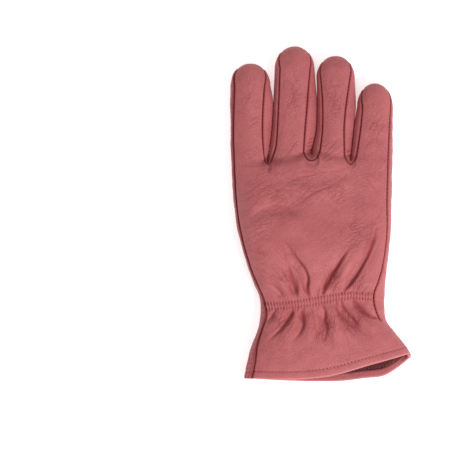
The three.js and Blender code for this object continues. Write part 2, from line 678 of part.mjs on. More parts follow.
addBack();
addPalm();
addLap(0);
addLap(1);
CROTCHES.forEach(addFourchette);
addThumb();
skin.findNormals();

// The elastic tape lies inside the back between the two rows of stitches at the wrist.
function wristTape() {
  const rows = LEVELS.findIndex((level) => level.name === "band_lower");
  const first = ROWS.findIndex((row) => row.i === rows);
  const strip = backNumbers.slice(first, first + 2).map((row) => row.slice(TAPE.trim, -TAPE.trim));
  const depths = [LEATHER + TAPE.gap, LEATHER + TAPE.gap + TAPE.thickness];
  const layer = (depth) =>
    strip.map((row) => row.map((i) => skin.points[i].clone().addScaledVector(skin.normals[i], -depth)));
  const [outer, inner] = depths.map(layer);
  const triangles = [];
  const quad = (a, b, c, d) => triangles.push(a, b, c, a, c, d);
  const last = outer[0].length - 1;
  for (let c = 1; c <= last; c++) {
    quad(outer[0][c - 1], outer[0][c], outer[1][c], outer[1][c - 1]);
    quad(inner[0][c], inner[0][c - 1], inner[1][c - 1], inner[1][c]);
    quad(outer[0][c], outer[0][c - 1], inner[0][c - 1], inner[0][c]);
    quad(outer[1][c - 1], outer[1][c], inner[1][c], inner[1][c - 1]);
  }
  quad(outer[0][0], outer[1][0], inner[1][0], inner[0][0]);
  quad(outer[1][last], outer[0][last], inner[0][last], inner[1][last]);
  return closedGeometry(triangles);
}

const leather = new THREE.MeshStandardMaterial({ color: LEATHER_COLOUR, roughness: 0.62, metalness: 0 });
const elastic = new THREE.MeshStandardMaterial({ color: TAPE_COLOUR, roughness: 0.9, metalness: 0 });

const glove = new THREE.Group();
function piece(name, geometry, material) {
  const mesh = new THREE.Mesh(geometry, material);
  mesh.name = name;
  glove.add(mesh);
}
for (const panel of new Set(skin.faces.map((face) => face.panel))) {
  piece(panel, skin.panelGeometry(panel), leather);
}
piece("wrist_elastic", wristTape(), elastic);

export default glove;
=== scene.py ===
import math

import bpy
import numpy as np
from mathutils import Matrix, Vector
from mathutils.kdtree import KDTree


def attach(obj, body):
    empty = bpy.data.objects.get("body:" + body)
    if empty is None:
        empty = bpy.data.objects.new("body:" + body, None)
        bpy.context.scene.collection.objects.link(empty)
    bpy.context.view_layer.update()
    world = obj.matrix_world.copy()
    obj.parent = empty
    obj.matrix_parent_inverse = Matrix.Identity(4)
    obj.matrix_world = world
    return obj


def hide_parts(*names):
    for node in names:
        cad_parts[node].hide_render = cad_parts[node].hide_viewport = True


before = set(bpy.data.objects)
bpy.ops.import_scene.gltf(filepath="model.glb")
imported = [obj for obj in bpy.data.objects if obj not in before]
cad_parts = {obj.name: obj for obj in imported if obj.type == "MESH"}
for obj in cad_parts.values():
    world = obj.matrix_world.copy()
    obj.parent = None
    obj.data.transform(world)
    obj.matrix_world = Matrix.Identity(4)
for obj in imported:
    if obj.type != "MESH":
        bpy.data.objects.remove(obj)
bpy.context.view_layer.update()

# A right-hand leather work glove lying flat on its palm, with the thumb folded under the hand.
# Tables and sizes are in millimetres. X runs from the index finger side to the little finger side,
# Y from the cuff to the fingertips, Z up from the surface that the glove lies on.
MM = 0.001

LEATHER = 1.2
HEM_LEATHER = 2.3
HEM_WIDTH = 5.4
HEM_ROUND = 1.25  # radius of the rolled edge
HEM_EDGE = 0.12  # share of the hem's thickness left at its very edge
HEM_STEP = {"before": 0.4, "after": 0.8}
HEM_STITCH = {"depth": 0.35, "width": 0.7}
HEM_PUFF = {"height": 0.12, "width": 2.0}
SEAM_GAP = 0.08
TAPE_THICKNESS = 0.8
TAPE_GAP = 0.35  # between the band's leather and the tape behind it

# How finely the leather is divided.
FINGER_COLUMNS = 36
PALM_FINGER_COLUMNS = 24
TIP_POINTS = 12
CROTCH_COLUMNS = 8
WALL_COLUMNS = 18
FOURCHETTE_COLUMNS = 18
FINGER_ROWS = 76
TIP_ROWS = 17
COLUMN_CLUSTER = 0.45  # how much closer the columns lie near a seam
THUMB_RINGS = 74

UNDER_TURN = 7.0  # radius of the turn between the palm and the sides
UNDER_INSET = 4.2  # how far in from the edge the palm's seam lies
UNDER_INSET_MOST = 0.35  # share of a finger's half width
SEAM_END_ANGLE = 50.0  # how far round a fingertip its seams run, in degrees
TIP_FLAT = 2.2  # half width of the short line that closes a fingertip
TIP_LAST_ANGLE = 81.0  # the last section before that line


def table(names, *rows):
    """Named columns from rows of numbers."""
    values = np.array(rows, dtype=float)
    return {name: values[:, i] for i, name in enumerate(names.split())}


INDEX_SIDE = table(
    "y edge seam",
    (-117.7, -54.9, -49.6),
    (-105.7, -52.8, -47.3),
    (-94.2, -49.3, -45.8),
    (-82.8, -44.6, -42.3),
    (-71.4, -42.8, -39.2),
    (-60.0, -43.6, -41.4),
    (-48.6, -47.8, -46.3),
    (-37.1, -52.1, -50.8),
    (-14.3, -58.5, -57.1),
    (10.0, -62.1, -60.6),
    (40.0, -63.8, -62.3),
)
LITTLE_SIDE = table(
    "y edge seam",
    (-100.0, 64.3, 64.1),
    (-94.2, 60.9, 60.6),
    (-84.0, 52.6, 52.0),
    (-76.0, 46.8, 42.9),
    (-65.7, 45.7, 38.4),
    (-57.0, 45.6, 37.9),
    (-48.6, 46.3, 40.9),
    (-37.1, 47.4, 44.2),
    (-14.3, 50.0, 47.2),
    (10.0, 50.7, 47.3),
    (42.0, 51.4, 48.2),
)
FORM = table(
    "y mid rise turn",
    (-120, 8.5, 9.5, 22),
    (-104, 8.5, 11, 20),
    (-86, 8.0, 12, 17),
    (-64, 7.0, 9.5, 15),
    (-48, 8.0, 12.5, 19),
    (-15, 9.0, 13.5, 23),
    (15, 8.5, 12, 20),
    (40, 8.0, 9.5, 14),
)

# Lines across the hand: y at five even places, the rows up to the next line, and the share of the
# drop by which the palm side of the mouth hangs below the back.
LEVELS = [
    {"name": "mouth", "y": (-117.7, -118.2, -115.7, -107.7, -99.8), "rows": 13, "drop": 1.0},
    {"name": "hem", "y": (-112.6, -112.9, -110.2, -102.6, -95.2), "rows": 2, "drop": 0.9},
    {"name": "hem_stitch", "y": (-111.8, -112.1, -109.4, -101.8, -94.4), "rows": 34, "drop": 0.85},
    {"name": "cuff", "y": (-88, -88.5, -86, -80.5, -76), "rows": 30, "drop": 0.2},
    {"name": "band_lower", "y": (-67.6, -66.7, -63.6, -60.3, -60.8), "rows": 9, "drop": 0.0},
    {"name": "band_upper", "y": (-64, -62.9, -59.6, -56.6, -57.4), "rows": 36, "drop": 0.0},
    {"name": "heel", "y": (-40, -39, -36, -34, -34), "rows": 52, "drop": 0.0},
    {"name": "knuckles", "y": (16, 16, 17, 17, 17), "rows": 28, "drop": 0.0},
]
MOUTH_DROP = (0.4, 0.7, 1.3, 2.5, 4.3, 7.4, 10.0, 11.9, 7.0)
MOUTH_CLUSTER = 1.9  # rows crowd towards the rolled edge by this power
PALM_KNUCKLE_BLEND = 0.3
KNUCKLE_REACH = 4.0  # how far below the fingers their roundness shows in the back of the hand
KNUCKLE_SPREAD = {"start": 0.3, "growth": 0.9}
COLUMNS_EVEN = (6.3, 7.6)  # levels between which the columns part into those of the fingers
COLUMN_ENDS = {"width": 0.04, "shift": 0.018}


def finger(tip, left, right):
    """A finger from its tip (x, y, rounded length) and the rows of its two sides."""
    return {
        "tip": tip,
        "left": table("y edge seam", *left),
        "right": table("y edge seam", *right),
    }


FINGERS = [
    finger(
        (-50.3, 107.8, 15.7),
        [(40.0, -63.8, -62.3), (60.0, -64.3, -62.8), (92.1, -64.3, -61.9)],
        [
            (38.5, -37.95, -39.9),
            (47.0, -36.75, -40.9),
            (60.0, -35.05, -41.7),
            (77.1, -34.05, -41.2),
            (84.0, -34.5, -40.7),
            (92.1, -36.1, -40.0),
        ],
    ),
    finger(
        (-18.6, 120.0, 15.7),
        [
            (38.5, -38.05, -35.4),
            (47.0, -36.85, -32.6),
            (60.0, -35.15, -31.5),
            (77.1, -34.15, -30.7),
            (84.0, -33.9, -30.4),
            (104.3, -33.0, -29.6),
        ],
        [(45.4, -6.35, -12.2), (60, -3.35, -11.4), (77.1, -2.75, -9.9), (88, -3.2, -9), (104.3, -4.6, -7.4)],
    ),
    finger(
        (10.7, 113.2, 15.7),
        [(45.4, -6.45, -1.2), (60.0, -3.45, 0.6), (77.1, -2.85, 0.8), (88, -2.9, 0.2), (97.5, -3.2, -0.7)],
        [(41.5, 21.55, 17), (60, 23.45, 16.6), (70, 24.6, 17.2), (77.1, 25.1, 18), (97.5, 24.3, 20.9)],
    ),
    finger(
        (38.6, 93.5, 16.4),
        [(41.5, 21.45, 25.0), (60.0, 23.35, 27.8), (70, 24.7, 28.8), (77.1, 26.0, 29.3)],
        [(42.0, 51.4, 48.2), (60.0, 51.6, 49.0), (77.1, 51.5, 49.9)],
    ),
]
# How far the back's seam, the strip's edge and the palm's seam of each crotch run below the
# fingers' base line, and how pointed the back's seam is.
CROTCHES = [
    {"name": "index_middle", "back": 3.9, "edge": 2.2, "palm": 4.0, "pointed": 0.75},
    {"name": "middle_ring", "back": 6.0, "edge": 2.8, "palm": 5.0, "pointed": 0.0},
    {"name": "ring_little", "back": 6.4, "edge": 2.6, "palm": 5.0, "pointed": 0.6},
]
CROTCH_RISE = 0.75  # how much of the way up to the hand's back each crotch's seam climbs

# Gathers: start at the elastic, bend, end, depth, width near the band and far from it.
GATHERS = [
    ((-27.5, -60), (-33, -51), (-43, -44), 1.8, 2.4, 4.5),
    ((-18.0, -58.5), (-21.5, -46), (-27, -28), 3.6, 2.6, 6.5),
    ((-9.5, -57.5), (-11.5, -42), (-28, -16), 2.8, 2.4, 5.5),
    ((1.0, -55.5), (10.5, -41), (18.5, -22), 3.6, 2.4, 4.5),
    ((16.5, -53.5), (28, -36), (39.5, -14), 3.8, 2.4, 5.0),
    ((-33.0, -70.5), (-36, -75), (-41, -80), 1.8, 2.2, 4.0),
    ((-20.0, -69), (-25, -76), (-41, -95), 3.6, 2.4, 5.0),
    ((-13.5, -68.5), (-12.5, -79), (-20, -95), 2.8, 2.4, 4.5),
    ((0.5, -67), (0.5, -82), (5, -102), 3.2, 2.8, 6.0),
    ((11.0, -64.5), (18, -76), (38, -95), 3.8, 2.6, 6.0),
    ((23.0, -62), (28, -71.5), (44, -77), 3.4, 2.4, 3.6),
]
GATHER_AT_BAND = 0.12
GATHER_OPENS, GATHER_FADES = 0.2, 0.35  # shares of a gather's length
SUNK_EDGE = 12.0  # gathers and dents fade over this width at the hand's sides
# Sharper folds that run out of the band: points, depth, width, darkness of the line's painted shade.
FOLDS = [
    ([(-26.8, -59.8), (-30.3, -54.3), (-35.7, -49.8), (-42.8, -47.1)], 0.7, 0.9, 0.7),
    ([(-28.6, -60.5), (-33.0, -56.9), (-38.4, -53.4), (-43.5, -51.6)], 0.45, 0.8, 0.5),
    ([(-27.7, -54.3), (-32.1, -48.9), (-37.5, -45.3), (-45.5, -40.9)], 0.35, 0.8, 0.4),
    ([(-17.0, -59.6), (-18.7, -54.3), (-21.4, -47.1), (-23.2, -38.2), (-26.8, -26.6)], 1.1, 1.0, 1.0, 4),
    ([(-19.4, -59.4), (-21.0, -54.0), (-22.2, -49.0)], 0.6, 0.8, 0.5),
    (
        [(-8.9, -59.6), (-10.3, -53.4), (-9.8, -46.2), (-12.5, -39), (-18.7, -31), (-25, -22), (-33, -17)],
        1.9, 1.0, 1.0, 6,
    ),
    ([(-12.0, -56.0), (-12.6, -48.0), (-16.5, -39.0), (-22.0, -31.0)], 0.5, 0.8, 0.4),
    ([(-2.7, -58.7), (-1.8, -55.2), (0.9, -51.6)], 0.8, 0.9, 0.9),
    (
        [(1, -57.6), (1.8, -55.2), (5.4, -47.1), (10.7, -39.1), (15.2, -31.1), (19.6, -24.8), (26.8, -19.5)],
        1.9, 0.9, 1.2, 3.5,
    ),
    ([(8.0, -56.0), (8.9, -52.5), (10.7, -49.4), (16.1, -45.3), (21.4, -37.3)], 0.6, 0.8, 0.6),
    (
        [(15, -56.4), (22.3, -47.1), (27.7, -38.2), (33.5, -28), (38, -17), (39.5, -10), (45.5, -7)],
        1.9, 0.9, 1.2, -4.5,
    ),
    ([(25.0, -56.3), (26.8, -51.6), (33.9, -45.3)], 0.35, 0.7, 0.4),
    ([(28.6, -56.5), (31.2, -53.4), (37.5, -49.8)], 0.45, 0.7, 0.5),
    ([(32.1, -57.8), (34.5, -55.8), (37.8, -54.3)], 0.4, 0.7, 0.5),
    ([(-32.1, -67.6), (-34.0, -71.0), (-36.6, -74.8), (-39.9, -79.0)], 1.0, 1.0, 1.0),
    ([(-26.8, -67.5), (-28.0, -70.5), (-30.0, -73.5)], 0.4, 0.7, 0.5),
    (
        [(-20.1, -66.8), (-21.4, -72.1), (-25, -77.5), (-29.5, -82.8), (-36.6, -89.1), (-43.7, -96.2)],
        1.2, 1.0, 1.1,
    ),
    ([(-12.9, -66.4), (-13.8, -73), (-12.5, -78.4), (-15.2, -84.6), (-18.7, -89), (-23.2, -93)], 1.1, 1, 1),
    ([(-17.0, -66.6), (-16.1, -72.1), (-13.6, -75.7)], 0.5, 0.7, 0.5),
    ([(-7.6, -65.4), (-6.2, -70.3), (-4.5, -75.7), (-3.6, -81.9), (0, -88)], 0.8, 0.9, 0.6),
    ([(-3.6, -64.6), (-2.4, -70.0), (-2.0, -76.0)], 0.5, 0.7, 0.4),
    ([(0.9, -63.8), (2.4, -69), (2.7, -72.5), (2.3, -77), (4, -81), (2.7, -88), (1.8, -97)], 1.15, 1, 1.1),
    ([(10.3, -61.7), (12.5, -68.5), (17.8, -74.8), (24.1, -80.1), (30.3, -85.5), (37.5, -90)], 1.1, 1, 0.9),
    ([(14.3, -61.0), (15.2, -67.0), (19.6, -72.1), (25, -78.4), (31, -83)], 1.1, 1.0, 0.9),
    ([(12.5, -69.4), (17, -77.5), (22.3, -84.6), (26.8, -93.5)], 0.6, 0.9, 0.4),
    ([(22.3, -60.8), (25, -65), (29.5, -69.4), (35.7, -73), (42.8, -74.8), (47, -76.3)], 1.35, 0.85, 1.4),
]
# Long fine creases in the rest of the back, in the same columns.
CREASES = [
    ([(-58.5, 34.6), (-52.9, 34.2), (-45.8, 34.2), (-40, 35)], 0.2, 0.6, 0.4),
    ([(-14, 54.4), (-18, 51.3), (-22, 45.7), (-27.5, 39)], 0.3, 0.7, 0.6),
    ([(-32.3, 38.2), (-25.1, 37.8), (-15.6, 38.4)], 0.2, 0.7, 0.3),
    ([(-29.1, 40.9), (-22, 41.7), (-15.6, 40.2)], 0.2, 0.6, 0.4),
    ([(14.5, 54.4), (9, 50.5), (4.2, 44.9), (0, 41)], 0.28, 0.65, 0.5),
    ([(13.7, 49.7), (7.4, 44.1), (2.6, 40.2), (-2, 38)], 0.25, 0.6, 0.5),
    ([(15.5, 45.5), (9.5, 42.0), (3.0, 38.5)], 0.2, 0.6, 0.4),
    ([(2.6, 37.8), (8.2, 40.2), (14.5, 40.2)], 0.3, 0.8, 0.4),
    ([(-36.3, 33.8), (-33.1, 29), (-31, 25)], 0.3, 0.7, 0.5),
    ([(-34.5, 33.8), (-29.9, 29), (-23.6, 28.2)], 0.25, 0.6, 0.5),
    ([(-18.8, 29), (-12.5, 30.6), (-4.5, 29.8), (3.4, 29.8), (12.9, 31.4), (20, 34)], 0.3, 0.8, 0.5),
    ([(-28.3, 25.9), (-18.8, 25.1), (-10.9, 26.7), (-2.9, 28.2), (6, 28)], 0.3, 0.75, 0.5),
    ([(-58.5, 13.2), (-50.5, 16.3), (-44.2, 21.1), (-38.6, 24.3), (-33.1, 25.9)], 0.3, 0.75, 0.5),
    ([(-28.3, 20.3), (-22, 21.5), (-14.8, 21.1), (-8, 23)], 0.3, 0.75, 0.5),
    ([(-56.9, 7.6), (-48.9, 13.2), (-43, 16)], 0.25, 0.65, 0.5),
    ([(-17.2, 6.8), (-10.9, 11.6), (-2.9, 15.6), (5, 19.5), (12.9, 23.5), (18.5, 28)], 0.35, 0.8, 0.55),
    ([(-22, 4), (-14, 8.8), (-6.1, 14.2), (2.6, 18.7), (9.8, 21.1)], 0.25, 0.65, 0.45),
    ([(-37, 10.8), (-30.7, 17.9), (-25.1, 17.5), (-18.8, 14.8)], 0.3, 0.75, 0.45),
    ([(-54.4, -7), (-45.5, 1.1), (-32.1, 5.5), (-20.5, 2.9), (-14.3, -1.6)], 0.3, 0.9, 0.3),
    ([(-57.6, 0.2), (-50, 5), (-44, 11)], 0.22, 0.6, 0.4),
    ([(27.2, 29), (35.1, 28.2), (44.7, 21.1)], 0.22, 0.6, 0.4),
    ([(19.3, 30.6), (17.5, 27.5), (15.2, 24.5)], 0.25, 0.6, 0.5),
    ([(28.8, 29.8), (32, 25.1), (39.1, 17.1), (44.7, 10)], 0.22, 0.6, 0.35),
    ([(-46.6, 98), (-47.4, 92.5), (-51.3, 84.6), (-56, 76)], 0.25, 0.65, 0.45),
    ([(-49.7, 97.3), (-52, 93.5), (-54.8, 89.5)], 0.18, 0.6, 0.4),
    ([(-44.2, 70.3), (-48.2, 68.7), (-51.5, 65.5)], 0.28, 0.65, 0.5),
    ([(-44.2, 66.3), (-48.2, 64.7), (-52.3, 60.6)], 0.28, 0.65, 0.5),
    ([(-43.5, 77), (-47, 76), (-50, 74)], 0.18, 0.6, 0.35),
    ([(-19.6, 103.6), (-18.8, 98.1), (-15.6, 92.5), (-14.5, 89)], 0.22, 0.6, 0.45),
    ([(-22, 94.9), (-20.4, 89.3), (-21.2, 83.5)], 0.22, 0.6, 0.45),
    ([(-17.2, 103.6), (-14, 101), (-10.9, 98.9)], 0.2, 0.6, 0.4),
    ([(-24, 90), (-19, 86), (-17, 80)], 0.2, 0.6, 0.4),
    ([(-23, 80), (-18, 78), (-13.5, 74)], 0.18, 0.6, 0.35),
    ([(4.5, 93.2), (10.1, 91.7), (16.5, 92.5)], 0.22, 0.6, 0.45),
    ([(10.1, 91.7), (9.8, 86), (11.5, 81)], 0.22, 0.6, 0.45),
    ([(4, 81), (9, 78.5), (15, 77)], 0.2, 0.6, 0.4),
    ([(4.5, 72.2), (9, 71.7), (13, 73)], 0.2, 0.6, 0.4),
    ([(36.7, 80.5), (37.3, 77), (37.5, 73)], 0.2, 0.6, 0.45),
    ([(38.3, 68.7), (35.1, 62.4), (33.2, 58)], 0.25, 0.65, 0.45),
    ([(47.8, 65.5), (43.1, 60.8), (38.5, 53)], 0.22, 0.65, 0.45),
    ([(35.9, 54.4), (32.8, 49.7), (31, 46)], 0.22, 0.6, 0.4),
    ([(46.5, 56), (42, 51.5), (38, 44)], 0.2, 0.6, 0.4),
    ([(-53, -24), (-44, -27.5), (-36, -27)], 0.22, 0.65, 0.4),
    ([(-49, -15), (-42, -13.5), (-35, -17)], 0.22, 0.65, 0.4),
    ([(-48, -38), (-41, -40.5), (-34, -45)], 0.22, 0.65, 0.4),
    ([(-46, -100), (-36, -103), (-22, -101)], 0.2, 0.6, 0.35),
    ([(-40, -95), (-28, -97), (-14, -95)], 0.2, 0.6, 0.35),
    ([(-8, -93), (-4, -88), (0, -84)], 0.2, 0.6, 0.35),
    ([(6, -83), (8, -91), (7, -100)], 0.2, 0.6, 0.35),
    ([(15, -80), (18, -88), (20, -96)], 0.2, 0.6, 0.35),
]
SINK_START = 0.35  # where the outer face sinks deeper than this, the inner one goes down with it
# Each fold is a sharp valley in a soft one. A fifth number is the width in mm of a gentle flank on
# the line's left (positive) or right (negative).
VALLEY = {"sharp": 0.9, "share": 0.5, "width": 3.0}
STEEP_FLANK = 0.5  # how wide the flank opposite a gentle one is, against a usual one
FOLD_LIPS = {"height": 0.35, "place": 2.1, "width": 1.2}
FOLD_START = {"strength": 0.35, "length": 0.08}
FOLD_FADES = 0.55  # the share of its length from which a fold runs out
FOLD_REACH = 16.0  # a fold shapes the leather up to this far from its line
# A fold's dark line is painted shade along its valley.
FOLD_DARK = 0.55  # width of its dark line, as a share of its own
CREASE_ENDS = 0.6  # the smaller, the faster a crease starts and ends
SWELL_ENDS = 0.25  # share of its length over which a swell starts and ends
# Broad soft swells (positive) and hollows (negative): points, height, width.
SWELLS = [
    ([(-37, 40.5), (-14, 41), (16, 40.5)], 0.35, 3.0),
    ([(-46, 20), (-20, 25), (6, 26), (26, 27)], -0.9, 4.5),
    ([(-54, -8), (-45.5, 1), (-32, 5.5), (-20.5, 2.9), (-4, -6)], -1.2, 4.5),
    ([(-52, -16), (-42, -7), (-30, -4), (-14, -14)], 1.1, 5.5),
    ([(-24, 14), (0, 17), (24, 20)], 0.7, 5.0),
    ([(-36, 15.4), (-30.3, 17.6), (-25, 17.1), (-20, 14)], -0.5, 2.5),
    ([(-38, 9), (-29, 11.5), (-18, 8)], 0.5, 3.5),
    ([(-18, 4), (-6, 11), (10, 17)], 0.4, 3.5),
    ([(-52, 22), (-50, 0), (-46, -20)], 0.4, 6.0),
    ([(30, 25), (34, 2), (30, -14)], 0.4, 6.0),
    ([(-4.5, -57), (-4.5, -42), (-12, -27), (-22, -15)], 1.0, 4.0),
    ([(-18, -56), (-20.5, -46), (-24, -34), (-31, -22)], -1.0, 5.5),
    ([(26, -52), (34, -38), (40, -22)], -0.7, 4.5),
    ([(9, -54), (16, -41), (24, -28)], 0.7, 3.0),
    ([(-14.2, -58), (-15.5, -49), (-19, -38)], 0.6, 2.0),
    ([(6.5, -64), (9, -76), (12, -92)], 0.8, 4.0),
    ([(-8.8, -69), (-8.5, -80), (-9, -94)], 0.6, 3.0),
    ([(20, -64), (30, -75.5), (42, -84)], 0.8, 4.0),
    ([(30, -63), (34, -68), (38.5, -71.5)], 0.8, 2.6),
]
# Broad dents: centre, half length, half width, turn from X in degrees, depth.
DENTS = [
    (-28, 4, 34, 9, 32, 2.0),
    (14, 12, 30, 8, 8, 1.2),
    (33, -4, 22, 8, 70, 1.2),
]

HOLE = {"x": -31.5, "y": -34.0, "across": 12.5, "along": 23.0, "lean": -16.0, "reach": 1.6}
HOLE_MARGIN_MM = {"rows": (20.0, 20.0), "column": 30.0}
THUMB_LINE = np.array([(-33.0, -36.0), (-38.0, -13.0), (-13.0, 25.0)])
# How much the thumb under the hand lifts it, up to which distance from its line, and where not at all.
PALM_LIFT = {"height": 13.2, "full": 14.0, "none": 29.0}
PALM_LIFT_SIDES = 14.0  # the palm's lift starts from nothing over this width at the sides
BACK_LIFT = {"height": 4.5, "full": 8.0, "none": 46.0}
WALL_LIFT = 0.38  # share of the palm's lift that the side walls take
THUMB_LEAN = 36.0  # degrees from Y towards X
THUMB_BEND = 26.0  # over this length the thumb turns from the hole's lean to its own
THUMB_FLOOR = 0.4  # how far the thumb sinks towards the surface that it lies on
THUMB_RIM_FADE = 1.5  # rows of its table over which the hole's rim shapes the thumb
THUMB = table(
    "y advance tilt across through top",
    (0, 0.0, 0, 12.5, 23.0, 12.8),
    (1, 2.0, 21, 15.5, 17.0, 12.6),
    (2, 5.0, 32, 15.5, 11.4, 12.2),
    (3, 9.5, 50, 15.5, 7.9, 11.9),
    (4, 15.0, 72, 15.5, 6.3, 11.7),
    (5, 22.0, 90, 15.0, 6.0, 11.6),
    (6, 32.0, 90, 14.2, 5.9, 11.4),
    (7, 41.0, 90, 12.6, 5.6, 10.8),
    (8, 47.0, 90, 9.6, 4.8, 9.6),
    (9, 50.8, 90, 5.2, 3.2, 7.8),
    (10, 52.0, 90, 0.0, 0.0, 5.0),
)


def lerp(a, b, t):
    return a + (b - a) * t


def smoothstep(x, low, high):
    t = np.clip((x - low) / (high - low), 0, 1)
    return t * t * (3 - 2 * t)


def bump(distance, width):
    """A soft bell, 1 at no distance."""
    return np.exp(-((distance / width) ** 2))


def unit(vectors):
    return vectors / np.maximum(np.linalg.norm(vectors, axis=-1, keepdims=True), 1e-12)


def lengths_along(line):
    """How far along a line each of its points lies."""
    return np.concatenate([[0], np.cumsum(np.linalg.norm(line[1:] - line[:-1], axis=-1))])


def between(points, at, places):
    """Points at any places along a line, which has its own points at the places called at."""
    return np.stack([np.interp(places, at, points[:, k]) for k in range(3)], axis=-1)


def follow(rows, at, column):
    """A column of a table at any place, on a smooth curve through its rows."""
    key, value = rows["y"], rows[column]
    slope = np.empty(len(key))
    slope[1:-1] = (value[2:] - value[:-2]) / (key[2:] - key[:-2])
    slope[0] = (value[1] - value[0]) / (key[1] - key[0])
    slope[-1] = (value[-1] - value[-2]) / (key[-1] - key[-2])
    at = np.clip(at, key[0], key[-1])
    i = np.clip(np.searchsorted(key, at), 1, len(key) - 1)
    step = key[i] - key[i - 1]
    t = (at - key[i - 1]) / step
    return (
        value[i - 1] * (1 - t) ** 2 * (1 + 2 * t)
        + value[i] * t ** 2 * (3 - 2 * t)
        + step * t * (1 - t) * (slope[i - 1] * (1 - t) - slope[i] * t)
    )


def across(values, share):
    """A value between even places across the hand."""
    places = np.linspace(0, 1, len(values))
    return follow({"y": places, "value": np.array(values, dtype=float)}, share, "value")


def rounded(distance, turn):
    """Height of a rounded edge, from 0 at the edge to 1 where the turn ends."""
    rest = 1 - np.clip(distance / turn, 0, 1)
    return np.sqrt(1 - rest * rest)


def nearest_on(line, x, y):
    """Distance from a line, positive to its left, and the share of it up to the nearest point."""
    best = np.full(np.shape(x), np.inf)
    along = np.zeros(np.shape(x))
    side = np.ones(np.shape(x))
    for i in range(1, len(line)):
        a, piece = line[i - 1], line[i] - line[i - 1]
        t = ((x - a[0]) * piece[0] + (y - a[1]) * piece[1]) / (piece @ piece)
        t = np.clip(t, 0, 1)
        away_x, away_y = x - a[0] - piece[0] * t, y - a[1] - piece[1] * t
        distance = np.hypot(away_x, away_y)
        nearer = distance < best
        best = np.where(nearer, distance, best)
        along = np.where(nearer, (i - 1 + t) / (len(line) - 1), along)
        side = np.where(nearer, np.where(piece[0] * away_y < piece[1] * away_x, -1.0, 1.0), side)
    return best * side, along


def curve(start, bend, end, pieces=10):
    t = np.linspace(0, 1, pieces + 1)[:, None]
    start, bend, end = (np.array(p, dtype=float) for p in (start, bend, end))
    return start * (1 - t) ** 2 + 2 * bend * t * (1 - t) + end * t ** 2


def valley_depth(valley, x, y):
    start, bend, end, depth, near, far = valley
    distance, along = nearest_on(curve(start, bend, end), x, y)
    width = lerp(near, far, along)
    opened = lerp(GATHER_AT_BAND, 1, smoothstep(along, 0, GATHER_OPENS))
    return depth * opened * (1 - smoothstep(along, GATHER_FADES, 1)) * bump(distance, width)


def dent_depth(dent, x, y):
    cx, cy, length, width, turn, depth = dent
    c, s = math.cos(math.radians(turn)), math.sin(math.radians(turn))
    u = ((x - cx) * c + (y - cy) * s) / length
    v = ((y - cy) * c - (x - cx) * s) / width
    return depth * np.exp(-(u * u + v * v))


def over_thumb(lift, x, y):
    distance, _ = nearest_on(THUMB_LINE, x, y)
    return 1 - smoothstep(np.abs(distance), lift["full"], lift["none"])


def inward(x, y):
    return np.minimum(x - follow(INDEX_SIDE, y, "edge"), follow(LITTLE_SIDE, y, "edge") - x)


def wall_lift(x, y):
    return WALL_LIFT * PALM_LIFT["height"] * over_thumb(PALM_LIFT, x, y)


def palm_lift(x, y):
    return PALM_LIFT["height"] * over_thumb(PALM_LIFT, x, y) * rounded(inward(x, y), PALM_LIFT_SIDES)


def back_height(x, y):
    mid = follow(FORM, y, "mid")
    top = mid + follow(FORM, y, "rise") + BACK_LIFT["height"] * over_thumb(BACK_LIFT, x, y)
    return lerp(mid + wall_lift(x, y), top, rounded(inward(x, y), follow(FORM, y, "turn")))


def sunk(x, y):
    total = sum(valley_depth(g, x, y) for g in GATHERS) + sum(dent_depth(d, x, y) for d in DENTS)
    return total * rounded(inward(x, y), SUNK_EDGE)


def back_surface(x, y):
    return back_height(x, y) - sunk(x, y)


def palm_height(x, y):
    return follow(FORM, y, "mid") * (1 - rounded(inward(x, y), UNDER_TURN)) + palm_lift(x, y)


def ahead(lean):
    """The level direction that leans from Y towards X by an angle."""
    return np.array([math.sin(lean), math.cos(lean), 0])


def sideways(lean):
    """The level direction to the right of ahead."""
    return np.array([math.cos(lean), -math.sin(lean), 0])


def clustered(count):
    """Shares from 0 to 1 that lie closer together near both ends."""
    u = np.linspace(0, 1, count + 1)
    return u - COLUMN_CLUSTER * np.sin(2 * np.pi * u) / (2 * np.pi)


# The sections of the fingers and the rows of the hand.


def finger_section(f, share, angle=0.0):
    """One section of a finger. Up to the shoulder share says where; past it, an angle does."""
    shrink = math.cos(math.radians(angle))
    kept = max(1 - angle / SEAM_END_ANGLE, 0)
    tip_x, _, tip_length = f["tip"]
    sides = []
    for rows in (f["left"], f["right"]):
        y = lerp(rows["y"][0], rows["y"][-1], share)
        edge = follow(rows, y, "edge")
        inset = follow(rows, y, "seam") - edge
        x = lerp(tip_x, edge, shrink)
        sides.append((x, y + tip_length * math.sin(math.radians(angle)), x + inset * shrink * kept))
    (left, left_y, left_seam), (right, right_y, right_seam) = sides
    middle, half = (left + right) / 2, (right - left) / 2

    def points(x, face):
        y = lerp(left_y, right_y, (x - left) / (2 * half))
        mid, rise = follow(FORM, y, "mid"), follow(FORM, y, "rise")
        inside = half - np.abs(x - middle)
        if face == "back":
            z = mid + rise * shrink * rounded(inside, half)
        elif face == "palm":
            z = mid * (1 - rounded(inside, min(UNDER_TURN, half)) * math.sqrt(shrink))
        else:
            z = mid
        return np.stack(np.broadcast_arrays(x, y, z), axis=-1)

    inset = min(UNDER_INSET, UNDER_INSET_MOST * half) * kept
    return {
        "back": points(lerp(left_seam, right_seam, clustered(FINGER_COLUMNS)), "back"),
        "palm": points(lerp(left + inset, right - inset, clustered(PALM_FINGER_COLUMNS)), "palm"),
        "edge": points(np.array([left, right]), "edge"),
        "turn": half,
    }


